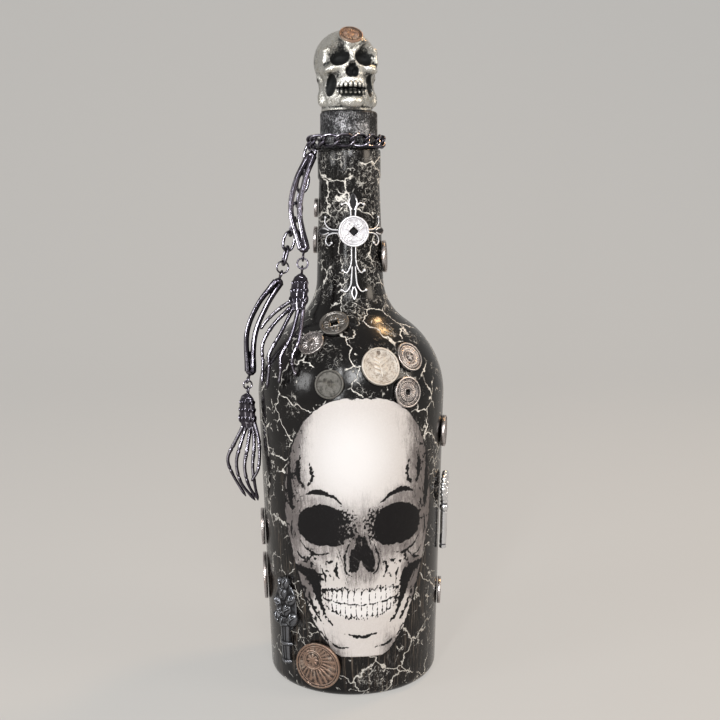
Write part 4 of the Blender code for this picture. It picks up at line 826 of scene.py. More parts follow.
class Drawing:
    """The skull drawing at places in millimetres, its ink gathered mark by mark."""

    def __init__(self, u, v):
        self.u, self.v = u, v
        self.x = u + 0.5 * cloud(u, v, 6.0, 3)
        self.y = v + 0.5 * cloud(u, v, 6.0, 13)
        self.side = np.abs(self.x)
        self.rough = cloud(u, v, 1.2, 23)
        self.fine = cloud(u, v, 0.7, 33, 2)
        self.bite_line = self.y - (27.0 + 0.0085 * self.x * self.x)
        self.marks = []

    def press(self, distance, edge=0.35, ragged=0.5, amount=1.0):
        """Ink where the distance is below 0, with a soft and ragged edge."""
        reach = distance + ragged * self.rough + 0.3 * self.fine
        self.marks.append(soft(edge, -edge, reach) * amount)

    def oval(self, centre, sizes, turn=0.0):
        """Distance outside a pair of ovals, one on each half."""
        return oval(self.side, self.y, centre, sizes, turn)

    def features(self):
        """The eye sockets with their stippled inner rims, the nose and the brush strokes."""
        hatched = 0.5 + 0.5 * cloud(self.u + self.v, (self.v - self.u) * 0.25, 0.7, 133, 2)
        socket = np.minimum(self.oval((19.5, 67.0), (13.0, 10.3), -10),
                            self.oval((15.0, 64.0), (9.0, 8.0), 20) + 0.4)
        thin = soft(-16.0, -8.0, self.x) * (self.x < 0) * soft(0.3, 0.7, hatched)
        self.press(socket, 0.4, 0.7, 1 - 0.75 * thin)
        rim = np.clip(1 - self.oval((10.5, 67.5), (7.5, 7.0)) / 4.0, 0, 1)
        dots = 0.5 + 0.5 * cloud(self.u, self.v, 0.8, 53, 2) + 0.25 - 0.5 * rim
        self.marks.append(soft(0.42, 0.30, dots) * (rim > 0) * 0.85 * soft(0.0, 0.4, rim))
        nose = np.minimum(self.oval((3.1, 50.5), (3.2, 7.4), 12),
                          self.oval((1.7, 57.5), (1.6, 5.2), 8))
        self.press(nose, 0.3, 0.5, 0.62 + 0.38 * soft(0.4, 0.6, hatched))
        for points, edge, ragged in STROKES:
            self.press(brush(self.side, self.y, points), edge, ragged)
        chin = ((-8.0, 12.0, 0.1), (0.0, 10.3, 0.8), (8.0, 12.0, 0.1))
        self.press(brush(self.x, self.y, chin), 0.3, 0.6)

    def teeth(self):
        """The line of the bite, and the gaps and crowns of both rows of teeth."""
        side = self.side
        bite = np.abs(self.bite_line + 0.25 * np.cos(self.x * 1.1)) - (0.28 + 0.010 * side)
        self.press(np.maximum(bite, side - 19.0), 0.22, 0.25)
        for way, height, teeth in ((1, 7.6, UPPER_TEETH), (-1, 6.8, LOWER_TEETH)):
            rise, edge = self.bite_line * way, 0.0
            split = side - (0.08 + 0.16 * np.clip(rise / height, 0, 1.2) ** 2)
            self.press(np.maximum(split, np.maximum(-rise, rise - height * 1.1)), 0.18, 0.18)
            for width, share in teeth:
                width *= 0.88
                tall, middle, edge = height * share, edge + width / 2, edge + width
                gap = np.abs(side - edge) - (0.10 + 0.20 * np.clip(rise / tall, 0, 1.3) ** 2)
                self.press(np.maximum(gap, np.maximum(-rise, rise - tall * 1.12)), 0.18, 0.18)
                crown = np.hypot((side - middle) / (width / 2),
                                 np.maximum(rise - tall * 0.55, 0) / (tall * 0.5))
                crown = np.abs(crown - 1.0) * width / 2 - 0.14
                crown = np.maximum(np.maximum(crown, tall * 0.6 - rise),
                                   np.abs(side - middle) - width / 2)
                self.press(crown, 0.18, 0.2, 0.9)

    def hatching(self):
        """Mottled shade on the temples and jaws, and fine lines down the lower half."""
        side, y = self.side, self.y
        mottle = 0.5 + 0.5 * cloud(self.u, self.v, 1.9, 103, 4)
        temple = soft(21, 35, side) * soft(54, 68, y)
        jaw = soft(10.0, 2.0, self.oval((27, 34), (8, 13), 15))
        self.marks.append(0.8 * soft(0.58, 0.68, mottle) * np.clip(temple + jaw, 0, 1))
        hatch = 0.5 + 0.5 * cloud(self.u + 0.3 * self.v, self.v * 0.09, 0.6, 113, 2)
        lined = np.clip(soft(17, 33, side) * soft(48, 60, y) + soft(24, 10, y) * soft(8, 18, side)
                        + soft(5.0, 1.0, self.oval((4.0, 50.0), (5.5, 10.0))), 0, 1)
        self.marks.append(0.75 * soft(0.64, 0.76, hatch) * lined)

    def light(self):
        """The bare brow and teeth, where the paper shows."""
        brow = soft(1.0, 0.1, np.hypot((self.x + 4.0) / 32.0, (self.y - 101.0) / 36.0))
        rows = np.maximum(np.abs(self.bite_line) - 5.0, self.side - 14.0)
        return np.maximum(brow, 0.8 * soft(3.0, 0.0, rows))

    def wash(self, light):
        """The grey wash, deeper to the sides and round the hollows."""
        side, y = self.side, self.y
        wash = soft(13, 40, side) * soft(10, 70, y)
        for centre, sizes, turn, far, near, amount in SHADES:
            wash = np.maximum(wash, amount * soft(far, near, self.oval(centre, sizes, turn)))
        wash = np.maximum(wash, 0.6 * soft(22, 4, y) * soft(4, 20, side + 4))
        wash = wash + 0.22 * cloud(self.u, self.v, 9.0, 63)
        wash = wash + 0.16 * cloud(self.u, self.v * 0.12, 0.9, 43, 3) + 0.10 * self.fine
        return np.clip(wash * (1 - 0.9 * light), 0, 1)

    def wear(self, wash):
        """Fine cracks and pits where the wash lies."""
        u, v = self.u, self.v
        crack = np.abs(cloud(u, v, 17.0, 73, 3) - 0.12)
        crack = crack + 0.9 * soft(0.35, 0.0, np.abs(cloud(u, v, 25.0, 83, 2)))
        self.marks.append(0.7 * soft(0.018, 0.006, crack) * soft(0.15, 0.5, wash))
        pits = soft(0.80, 0.92, 0.5 + 0.5 * cloud(u, v, 0.9, 93, 2)) * soft(0.35, 0.8, wash)
        self.marks.append(0.75 * pits)


def skull_drawing(u, v):
    """Ink, wash and light of the drawing, each from 0 to 1."""
    drawing = Drawing(u, v)
    drawing.features()
    drawing.teeth()
    drawing.hatching()
    light = drawing.light()
    wash = drawing.wash(light)
    drawing.wear(wash)
    return np.max(drawing.marks, axis=0), wash, light


def skull_print():
    """The print: a fine grid bent round the glass, with the drawing kept at its points."""
    bpy.ops.object.select_all(action="DESELECT")
    bpy.ops.mesh.primitive_grid_add(x_subdivisions=PRINT_COLUMNS, y_subdivisions=PRINT_ROWS,
                                    size=2.0)
    sheet = fresh("skull_print")
    grid = points_of(sheet) * MM
    up = PRINT_HEIGHT * (grid[:, 1] + 1) / 2
    line = smooth_line(PRINT_OUTLINE, 400)
    half = np.interp(up, line[:, 0], line[:, 1])
    half = half * (1 + 0.006 * cloud(up, grid[:, 0] * 3, 5.0, 5))
    across = grid[:, 0] * half
    ink, wash, light = skull_drawing(across, up)
    border = np.minimum(half - np.abs(across), PRINT_HEIGHT - up)
    frayed = border + 1.1 * cloud(across, up, 1.6, 123, 4)
    ink = np.maximum(ink, 0.95 * soft(1.3, 0.3, frayed))
    mark(sheet, "ink", ink)
    mark(sheet, "wash", wash)
    mark(sheet, "light", light)
    height = PRINT_FOOT + up
    radius = glass_radius(height)
    angle = math.radians(PRINT_AZIMUTH) + across / radius
    reach = radius + PRINT_LIFT
    move_points(sheet, np.stack([reach * np.sin(angle), -reach * np.cos(angle), height], axis=1))
    tidy(sheet, 0.0005, 60.0)
    apply_modifier(sheet, "SOLIDIFY", thickness=PRINT_THICKNESS * MM, offset=-1.0)
    settle(sheet, "front_print", "bottle", "pasted_print")


# Cast skull on the cap

def egg(p, centre, sizes, tilt=0.0):
    """Distance outside an egg, which may be tilted about the depth axis."""
    q = p - np.array(centre)
    if tilt:
        cosine, sine = math.cos(math.radians(tilt)), math.sin(math.radians(tilt))
        q = np.stack([q[:, 0] * cosine + q[:, 2] * sine, q[:, 1],
                      q[:, 2] * cosine - q[:, 0] * sine], axis=1)
    q = q / np.array(sizes)
    length = np.linalg.norm(q, axis=1)
    slope = np.linalg.norm(q / np.array(sizes), axis=1)
    return length * (length - 1) / np.maximum(slope, 1e-6)


def rod(p, first, second, start, end):
    """Distance outside a rod that tapers from one end to the other."""
    first, second = np.array(first), np.array(second)
    span = second - first
    share = np.clip(((p - first) @ span) / (span @ span), 0, 1)
    width = start + (end - start) * share
    return np.linalg.norm(p - first - share[:, None] * span, axis=1) - width


def blend(first, second, reach):
    """Two masses in one, rounded where they meet."""
    share = np.clip(0.5 + 0.5 * (second - first) / reach, 0, 1)
    return second + (first - second) * share - reach * share * (1 - share)


def carve(first, second, reach):
    """The second mass taken out of the first."""
    return -blend(-first, second, reach)


CROWN_SEAT = (0.0, -13.8, 34.9)
SKULL_CENTRE = (0.0, -1.0, 16.0)
SKULL_CUTS = 88
SKULL_REACH = 30.0

# Brow, edge of the eye socket, cheekbone and jaw: both ends, both radii, roundness of the joint
SKULL_BARS = (
    ((2.0, -15.6, 28.0), (6.6, -15.3, 29.9), 1.4, 1.7, 1.8),
    ((6.6, -15.3, 29.9), (11.8, -11.2, 27.6), 1.7, 1.4, 1.8),
    ((11.8, -11.2, 27.6), (12.4, -10.8, 22.3), 1.3, 1.5, 1.4),
    ((11.6, -10.0, 19.6), (13.6, -1.5, 20.2), 1.9, 1.3, 1.4),
    ((12.4, 0.0, 16.5), (12.0, -4.0, 4.5), 2.4, 2.8, 1.4),
)

# Eye socket, hollow of the cheek and the nose's two: centre, sizes, tilt and softness of edge
SKULL_HOLLOWS = (
    ((6.5, -17.6, 24.6), (5.1, 7.6, 4.1), -12, 0.5),
    ((10.3, -13.0, 11.2), (2.7, 5.8, 5.6), 12, 0.6),
    ((1.35, -18.6, 17.8), (2.0, 5.6, 2.6), -12, 0.35),
    ((0.6, -18.8, 19.8), (1.2, 5.0, 2.3), 0, 0.35),
)


def cast_skull_form(p):
    """Distance outside the cast skull, which faces -Y with its foot on z = 0, in millimetres."""
    q = np.stack([np.abs(p[:, 0]), p[:, 1], p[:, 2]], axis=1)
    d = egg(q, (0, 2.2, 24.3), (15.5, 17.6, 15.2))
    d = blend(d, egg(q, (0, -5.0, 22.0), (12.8, 11.8, 14.2)), 3.0)
    d = blend(d, egg(q, (0, -4.0, 9.0), (12.6, 12.0, 12.0)), 2.5)
    d = blend(d, egg(q, (0, -0.5, 3.0), (12.4, 13.0, 9.0)), 3.0)
    for first, second, start, end, reach in SKULL_BARS:
        d = blend(d, rod(q, first, second, start, end), reach)
    d = blend(d, egg(q, (9.0, -12.8, 19.3), (4.2, 3.4, 2.6), -18), 1.4)
    d = blend(d, egg(q, (0, -13.0, 13.2), (7.2, 4.8, 5.6)), 1.2)
    d = blend(d, egg(q, (0, -14.4, 4.0), (5.8, 3.6, 3.8)), 1.6)
    d = blend(d, rod(q, (0, -15.6, 26.5), (0, -17.8, 21.9), 1.6, 1.1), 1.0)
    for centre, sizes, tilt, soften in SKULL_HOLLOWS:
        d = carve(d, egg(q, centre, sizes, tilt), soften)
    d = carve(d, egg(q, (16.2, -4.5, 25.0), (2.4, 6.0, 6.0)), 1.5)
    d = carve(d, egg(q, (14.8, -3.0, 12.0), (1.6, 4.5, 4.0)), 0.8)
    for height, size, tall in ((11.6, 1.05, 1.62), (8.6, 0.95, 1.40)):
        for tooth in range(5):
            angle = math.radians(8.5 + 17.0 * tooth)
            centre = (7.5 * math.sin(angle), -10.2 - 7.5 * math.cos(angle), height)
            d = blend(d, egg(q, centre, (size, size, tall)), 0.25)
    bite = np.maximum(np.abs(q[:, 2] - 10.1) - 0.24, egg(q, (0, -16.2, 10.1), (8.8, 5.0, 3.2)))
    d = carve(d, bite, 0.25)
    seat = np.array((0.0, -math.sqrt(0.5), math.sqrt(0.5)))
    over = (q - np.array(CROWN_SEAT)) @ seat
    beside = np.linalg.norm(q - np.array(CROWN_SEAT) - over[:, None] * seat, axis=1)
    d = blend(d, np.maximum(np.maximum(over, -over - 6.0), beside - 6.1), 1.6)
    foot = np.hypot(q[:, 0] / 12.6, (q[:, 1] + 1.0) / 14.0) * 12.6 - 12.6
    d = blend(d, np.maximum(foot, q[:, 2] - 1.1), 0.5)
    return np.maximum(d, -p[:, 2])


def skull_surface(ways):
    """Where rays from the skull's middle meet its surface, found by halving."""
    centre = np.array(SKULL_CENTRE)
    inside, outside = np.zeros(len(ways)), np.full(len(ways), SKULL_REACH)
    for _ in range(22):
        middle = (inside + outside) / 2
        within = cast_skull_form(centre + ways * middle[:, None]) < 0
        inside, outside = np.where(within, middle, inside), np.where(within, outside, middle)
    return centre + ways * inside[:, None]


def skull_shade(spots):
    """How much dark is left on the skull: in its hollows, and in streaks to the back."""
    step = 0.05
    slope = np.stack([cast_skull_form(spots + step * np.eye(3)[axis])
                      - cast_skull_form(spots - step * np.eye(3)[axis]) for axis in range(3)],
                     axis=1)
    slope /= np.maximum(np.linalg.norm(slope, axis=1), 1e-6)[:, None]
    shade = np.zeros(len(spots))
    for reach, weight in ((0.6, 0.25), (1.5, 0.35), (3.5, 0.40)):
        shade += weight * np.clip(1 - cast_skull_form(spots + slope * reach) / reach, 0, 1.5)
    half = np.stack([np.abs(spots[:, 0]), spots[:, 1], spots[:, 2]], axis=1)
    for centre, sizes, tilt, _ in SKULL_HOLLOWS:
        shade = np.maximum(shade, 0.9 * soft(0.5, -0.3, egg(half, centre, sizes, tilt)))
    around = np.degrees(np.arctan2(spots[:, 0], -spots[:, 1])) * 0.25
    stripes = soft(0.40, 0.85, 0.5 + 0.5 * cloud(around, spots[:, 2] * 0.22, 2.2, 3, 4))
    shade += 0.36 * stripes * soft(-4.0, 3.0, spots[:, 1])
    return np.clip(0.16 + 1.35 * shade, 0, 1)


def cast_skull():
    """The skull on the cap: a subdivided cube drawn in to the skull's surface."""
    bpy.ops.object.select_all(action="DESELECT")
    bpy.ops.mesh.primitive_cube_add(size=2.0 * MM)
    skull = fresh("cast_skull")
    bpy.ops.object.mode_set(mode="EDIT")
    bpy.ops.mesh.select_all(action="SELECT")
    bpy.ops.mesh.subdivide(number_cuts=SKULL_CUTS)
    bpy.ops.object.mode_set(mode="OBJECT")
    cube = np.tan(points_of(skull) * math.pi / 4)
    spots = skull_surface(cube / np.linalg.norm(cube, axis=1)[:, None])
    mark(skull, "hollow", skull_shade(spots))
    move_points(skull, spots)
    skull.data.transform(Matrix.Translation((SKULL_SHIFT * MM, 0.0, CAP_TOP * MM))
                         @ Matrix.Rotation(math.radians(SKULL_TURN), 4, "Z"))
    tidy(skull, 0.001, 70.0)
    settle(skull, "stopper_skull", "cap", "antique_silver")


# Coins

def disc_place(node, turn=0.0):
    """Where a coin of the frame lies: its centre below, own +Z out and own +Y up along it."""
    cad = frame["nodes"][node]
    spots = np.unique(np.round(points_of(cad), 3), axis=0)
    centre = (spots.max(0) + spots.min(0)) / 2
    out = np.linalg.svd(spots - spots.mean(0))[2][2]
    reference = np.array((0.0, 0.0, 1.0)) if node == "crown_coin" else np.array(
        (centre[0], centre[1], 0.0))
    if out @ reference < 0:
        out = -out
    depths = spots @ out
    centre = centre + out * (depths.min() - centre @ out)
    out = Vector(out)
    across = Vector((0.0, 0.0, 1.0)).cross(out).normalized()
    up = out.cross(across)
    place = Matrix((across, up, out)).transposed().to_4x4()
    return Matrix.Translation(Vector(centre) * MM) @ place @ Matrix.Rotation(
        math.radians(turn), 4, "Z")


def beads(share, angle, at, count, size):
    """A ring of beads at a share of the radius."""
    along = (angle * count / (2 * math.pi)) % 1.0 - 0.5
    return soft(size, size * 0.4, np.hypot(share - at, along * 2 * math.pi * at / count))


def petals(share, angle, count, low, high):
    """A flower of pointed petals between two shares of the radius."""
    wave = np.abs(np.cos(angle * count / 2)) ** 1.5
    reach = low + (high - low) * wave
    return soft(reach, reach - 0.10, share) * soft(low * 0.3, low * 0.7, share)


def rays(share, angle, count, low, high):
    """Straight rays between two shares of the radius."""
    wave = 0.5 + 0.5 * np.cos(angle * count)
    return soft(0.35, 0.75, wave) * soft(low, low + 0.05, share) * soft(high, high - 0.05, share)


def ring(share, at, width):
    """A raised circle at a share of the radius."""
    return soft(width, width * 0.3, np.abs(share - at))


# Designs of the coins. Each gives the height of the relief, from 0 to 1, at shares of the face's
# radius, at angles in radians and at places on the face, of which it uses what it needs.

def sunburst(share, angle, x, y):
    """Rays round a boss, in a ring of beads."""
    return np.maximum.reduce([rays(share, angle, 18, 0.36, 0.78), soft(0.28, 0.20, share),
                              ring(share, 0.32, 0.035), beads(share, angle, 0.90, 48, 0.035)])


def rosette(share, angle, x, y):
    """Two flowers of six petals laid over each other, in a ring of beads."""
    return np.maximum.reduce([petals(share, angle, 6, 0.22, 0.62) * 0.8,
                              petals(share, angle + math.pi / 6, 6, 0.16, 0.46),
                              soft(0.14, 0.08, share), ring(share, 0.72, 0.03),
                              beads(share, angle, 0.84, 36, 0.040)])


def wreath(share, angle, x, y):
    """Leaves in a circle round a small star."""
    turn = (angle * 20 / (2 * math.pi)) % 1.0 - 0.5
    leaf = soft(0.10, 0.04, np.hypot(share - 0.66 - 0.10 * turn, turn * 0.16) - 0.02)
    star = soft(0.0, 0.04, 0.20 + 0.10 * np.cos(5 * angle) - share)
    return np.maximum.reduce([leaf, star, ring(share, 0.86, 0.03), ring(share, 0.46, 0.02)])


def sprig(share, angle, x, y):
    """A stem with pairs of leaves, and a small hole punched above it."""
    stem = soft(0.06, 0.02, np.abs(x + 0.03 * np.sin(5 * y))) * (np.abs(y + 0.08) < 0.52)
    leaves = np.zeros_like(x)
    for side in (-1, 1):
        for step, height in enumerate((-0.42, -0.18, 0.06, 0.26)):
            reach = oval(x * side, y, (0.20 - 0.02 * step, height + 0.12), (0.17, 0.065), 38)
            leaves = np.maximum(leaves, soft(0.04, -0.02, reach))
    hole = soft(0.115, 0.085, np.hypot(x, y - 0.80)) * 3.0
    grain = 0.18 * (bumpy(x * 14 + 20, y * 14 + 20, 7) > 0.6)
    return np.maximum.reduce([stem, leaves, ring(share, 0.95, 0.02), grain]) - hole


def square_money(share, angle, x, y):
    """A border round the square hole, and curled strokes between it and a fine ring."""
    square = np.maximum(np.abs(x), np.abs(y))
    border = soft(0.05, 0.02, np.abs(square - 0.31))
    strokes = []
    for u, v in ((x, y), (-x, -y), (y, -x), (-y, x)):
        for points in (((0.44, -0.20, 0.02), (0.60, -0.26, 0.03), (0.74, -0.16, 0.02)),
                       ((0.44, 0.02, 0.02), (0.60, -0.04, 0.03), (0.80, 0.02, 0.02)),
                       ((0.46, 0.18, 0.02), (0.60, 0.26, 0.03), (0.64, 0.10, 0.02),
                        (0.76, 0.20, 0.02))):
            strokes.append(soft(0.045, 0.005, brush(u, v, points, 8)))
    return np.maximum.reduce([border, ring(share, 0.92, 0.025)] + strokes)


def rayed_hole(share, angle, x, y):
    """Rays round a round hole, in a ring of beads."""
    return np.maximum.reduce([rays(share, angle, 24, 0.34, 0.70) * 0.8, ring(share, 0.28, 0.04),
                              ring(share, 0.80, 0.03), beads(share, angle, 0.90, 40, 0.035)])


def worn_blank(share, angle, x, y):
    """A face worn down to low lumps."""
    return 0.5 * bumpy(x * 5 + 9, y * 5 + 9, 3) + 0.25 * bumpy(x * 15 + 9, y * 15 + 9, 5)


def aged_token(share, angle, x, y):
    """A smaller ringed disc laid to the upper left, with rays behind it."""
    u, v = x + 0.26, y - 0.24
    inner, turn = np.hypot(u, v), np.arctan2(v, u)
    disc = np.maximum.reduce([ring(inner, 0.44, 0.035), ring(inner, 0.36, 0.02),
                              petals(inner / 0.34, turn, 8, 0.30, 0.85),
                              soft(0.10, 0.05, inner)])
    fan = soft(0.50, 0.90, 0.5 + 0.5 * np.cos(26 * turn)) * soft(0.48, 0.52, inner)
    fan = fan * soft(0.88, 0.84, share) * 0.75
    return np.maximum.reduce([disc, fan * (inner > 0.46), ring(share, 0.93, 0.025)])


COIN_BORES = {None: 0.0, "square": 1.75, "round": 1.35}
FACE_DEPTH = 0.34
HOLE_EDGE = 1.2


def disc_size(node, place):
    """Radius and thickness of a coin's solid, measured where it lies."""
    back = np.array(place.inverted())
    local = points_of(frame["nodes"][node]) * MM
    local = (local @ back[:3, :3].T + back[:3, 3]) / MM
    return np.hypot(local[:, 0], local[:, 1]).max(), local[:, 2].max()


def coin_profile(radius, tall, rim, hole, fine):
    """Half of a coin's section: its back, edge, rim and sunk face, and its bore."""
    field, bore = tall - FACE_DEPTH, COIN_BORES[hole]
    steps = np.linspace(radius - rim - 0.3, bore + (0.05 if hole else 0.0), fine)
    profile = [(bore, 0.0), (radius - 0.2, 0.0), (radius, 0.2), (radius, tall - 0.22),
               (radius - 0.07, tall - 0.06), (radius - 0.22, tall), (radius - rim * 0.8, tall),
               (radius - rim, tall - 0.05)] + [(reach, field) for reach in steps]
    if hole:
        profile += [(bore, field - 0.08), (bore, tall / 2), (bore, 0.0)]
    return profile


def square_the_hole(spots, bore):
    """Draw a round hole out to a square one, less and less away from its edge."""
    reach = np.hypot(spots[:, 0], spots[:, 1])
    square = bore / np.maximum(np.maximum(np.abs(spots[:, 0]), np.abs(spots[:, 1])), 1e-6)
    share = np.clip((bore + HOLE_EDGE - reach) / HOLE_EDGE, 0.0, 1.0)[:, None]
    stretched = spots[:, :2] * (square * reach / bore)[:, None]
    spots[:, :2] = spots[:, :2] * (1 - share) + stretched * share


def coin(node, design, slot, body="bottle", hole=None, turn=0.0, fine=30, depth=0.28,
         dirt=1.0, metal=None):
    """A struck coin: a turned blank whose face is raised by its design."""
    place = disc_place(node, turn)
    radius, tall = disc_size(node, place)
    rim = min(0.9, radius * 0.11)
    profile = coin_profile(radius, tall, rim, hole, fine)
    piece = turned(node + "_struck", profile, 96, weld=0.002, angle=60.0)
    spots = points_of(piece)
    reach = np.hypot(spots[:, 0], spots[:, 1])
    angle = np.arctan2(spots[:, 1], spots[:, 0])
    span, field = radius - rim, tall - FACE_DEPTH
    face = (np.abs(spots[:, 2] - field) < 0.01) & (reach < span - 0.2)
    inner = (spots[:, 2] > field - 0.01) & (reach > span - 0.35) & (reach < span)
    relief = design(reach / span, angle, spots[:, 0] / span, spots[:, 1] / span)
    grain = cloud(spots[:, 0], spots[:, 1], 1.1, 7, 3)
    wear = cloud(spots[:, 0], spots[:, 1], 3.5, len(node), 3)
    low = np.where(face, np.clip(dirt * (0.62 - 0.75 * relief + 0.22 * grain), 0.0, 1.0), 0.12)
    low = np.where(inner, 0.8 * dirt, low)
    mark(piece, "hollow", np.clip(low + 0.16 * wear, 0.0, 1.0))
    spots[:, 2] += np.where(face, depth * relief, 0.0)
    if hole == "square":
        square_the_hole(spots, COIN_BORES[hole])
    move_points(piece, spots)
    piece.data.transform(place)
    settle(piece, node, body, slot)
    if metal is not None:
        piece.data.materials[0] = metal


def all_coins():
    """The coins and the grey disc, each on its own node."""
    coin("shoulder_coin_square_hole", square_money, "coin_silver", hole="square", turn=20.0,
         metal=OLD_COIN)
    coin("shoulder_coin_behind_hand", sunburst, "coin_silver")
    coin("shoulder_coin_large", sprig, "coin_silver", fine=40, dirt=0.75, metal=PALE_COIN)
    coin("shoulder_coin_upper_right", wreath, "coin_silver")
    coin("shoulder_coin_dark_hole", rayed_hole, "coin_silver", hole="round")
    coin("shoulder_grey_disc", worn_blank, "dull_grey", fine=20)
    coin("copper_coin", aged_token, "copper_coin", fine=48)
    coin("left_side_coin_upper", rosette, "coin_silver", fine=36)
    coin("left_side_coin_lower", sunburst, "coin_silver", fine=44)
    coin("right_side_coin_upper", wreath, "coin_silver")
    coin("right_side_coin_lower", rosette, "coin_silver")
    coin("neck_coin_left_upper", rosette, "coin_silver", fine=22)
    coin("neck_coin_left_lower", sunburst, "coin_silver")
    coin("neck_coin_right", square_money, "coin_silver", hole="square", turn=45.0)
    coin("cross_coin", square_money, "coin_silver", hole="square", turn=45.0, dirt=0.75,
         metal=WHITE_COIN)
    coin("crown_coin", sunburst, "copper_coin", body="cap", fine=24)


# Cross on the neck

# One half of the cross: its wires and the tips of its scrolls, (across, up) from its centre
CROSS_WIRES = (
    ((1.1, 7.0), (1.15, 9.5), (1.6, 11.8), (3.2, 13.8), (5.2, 13.2)),
    ((0.6, 10.5), (1.9, 13.4), (1.3, 16.4), (0.0, 18.6)),
    ((0.95, -7.0), (1.0, -14.0), (1.7, -17.6), (3.2, -20.0), (4.9, -19.0)),
    ((0.7, -17.0), (1.0, -22.0), (1.5, -26.2), (3.2, -29.2), (5.3, -28.6)),
    ((0.3, -27.0), (1.0, -30.0), (0.0, -33.2)),
    ((7.0, 0.8), (9.6, 0.9), (12.2, 1.9), (14.2, 4.2), (14.0, 6.8)),
    ((7.0, -0.8), (9.8, -0.9), (12.6, -2.2), (13.6, -4.9), (11.8, -6.9), (10.2, -5.6)),
    ((11.8, 0.6), (14.6, 1.5), (17.2, 1.2), (19.4, 0.0)),
    ((11.8, -0.6), (14.6, -1.5), (17.2, -1.2), (19.4, 0.0)),
)
CROSS_TIPS = ((5.2, 13.2), (4.9, -19.0), (5.3, -28.6), (14.0, 6.8), (10.2, -5.6))

# Its plates: the upright and an arm, (across, up, half width)
CROSS_UPRIGHT = ((0.0, 18.2, 0.7), (0.0, 15.4, 1.5), (0.0, 12.0, 1.2), (0.0, 8.0, 1.0),
                 (0.0, 0.0, 1.0), (0.0, -12.0, 0.9), (0.0, -20.0, 1.3), (0.0, -27.0, 1.5),
                 (0.0, -32.8, 0.4))
CROSS_ARM = ((19.2, 0.0, 0.5), (16.4, 0.0, 1.3), (12.6, 0.0, 1.2), (8.0, 0.0, 0.7),
             (0.0, 0.0, 0.9))


def mirrored(line, side):
    """A line of the cross on one side or the other."""
    return [(side * across, *rest) for across, *rest in line]


def on_neck(across, up, lift):
    """A point over the glass of the neck, by arc length from the cross's centre."""
    height = CROSS_HEIGHT + up
    angle = math.radians(CROSS_AZIMUTH) + across / glass_radius(CROSS_HEIGHT)
    reach = glass_radius(height) + lift
    return np.array((reach * math.sin(angle), -reach * math.cos(angle), height))


def neck_cross():
    """The filigree cross: bright wires and buds cast over a dark plate, bent round the neck."""
    masses = []
    for line in [mirrored(line, side) for line in CROSS_WIRES for side in (-1, 1)]:
        flat = smooth_line(line, 5 * len(line))
        path = [on_neck(across, up, CROSS_LIFT) for across, up in flat]
        swell = [0.35 + 0.08 * math.sin(math.pi * step / (len(path) - 1))
                 for step in range(len(path))]
        masses.append(drawn("cross_wire", path, swell, sides=1))
    for line in (CROSS_UPRIGHT, mirrored(CROSS_ARM, -1), CROSS_ARM):
        flat = smooth_line(line, 6 * len(line))
        path = [on_neck(across, up, PLATE_LIFT) for across, up, _ in flat]
        spine = drawn("cross_plate", path, [max(width, 0.3) for _, _, width in flat])
        spots = points_of(spine)
        reach = np.hypot(spots[:, 0], spots[:, 1])
        middle = glass_radius(spots[:, 2]) + PLATE_LIFT
        flatter = middle + (reach - middle) * PLATE_FLATNESS
        spots[:, :2] *= (flatter / reach)[:, None]
        move_points(spine, spots)
        masses.append(spine)
    for across, up in CROSS_TIPS:
        for side in (-1, 1):
            centre = on_neck(side * across, up, CROSS_LIFT)
            masses.append(ball("cross_bud", centre, (0.75, 0.75, 0.75), smooth=2))
    cross = fused("filigree_cross", masses, 0.15, 1)
    spots = points_of(cross)
    proud = np.hypot(spots[:, 0], spots[:, 1]) - glass_radius(spots[:, 2])
    over = np.abs(np.arctan2(spots[:, 0], -spots[:, 1]) - math.radians(CROSS_AZIMUTH))
    over = over * glass_radius(CROSS_HEIGHT)
    dim = 0.62 * np.maximum(soft(15.0, 16.5, spots[:, 2] - CROSS_HEIGHT), soft(14.6, 15.6, over))
    mark(cross, "hollow", np.maximum(soft(1.50, 1.30, proud), dim))
    settle(cross, "neck_cross", "bottle", "dark_silver")


# Charms on the body

def wall_place(across, height, lift):
    """A place on the body's wall, by arc length: own +Z out of it, own +Y up along it."""
    taper = math.atan((BODY_RADIUS - FOOT_RADIUS) / (SHOULDER_HEIGHT - HEEL_ROUND))
    azimuth = across / glass_radius(height)
    spot = facing(math.degrees(azimuth)) * (glass_radius(height) + lift)
    return Matrix.Translation((spot + Vector((0.0, 0.0, height))) * MM) @ Matrix.Rotation(
        azimuth, 4, "Z") @ Matrix.Rotation(math.pi / 2 + taper, 4, "X")


# Leaves of the crest: across, up from its middle, length, half width, turn in degrees, height
CREST_LEAVES = (
    (-5.6, -0.2, 3.9, 3.0, 118.0, 2.5), (5.1, 0.9, 4.2, 3.2, 62.0, 2.6),
    (-1.7, -2.0, 3.4, 2.7, 100.0, 2.3), (1.8, 5.2, 4.0, 3.3, 55.0, 3.0),
    (-4.9, 8.2, 3.6, 2.7, 130.0, 2.5), (-0.5, 13.6, 4.1, 3.2, 95.0, 2.8),
    (4.6, 11.0, 3.6, 2.7, 48.0, 2.5), (0.9, 18.9, 3.5, 2.5, 85.0, 2.4),
    (-2.4, 4.2, 3.2, 2.6, 140.0, 2.9), (-2.6, 19.0, 2.4, 1.8, 115.0, 1.9),
)


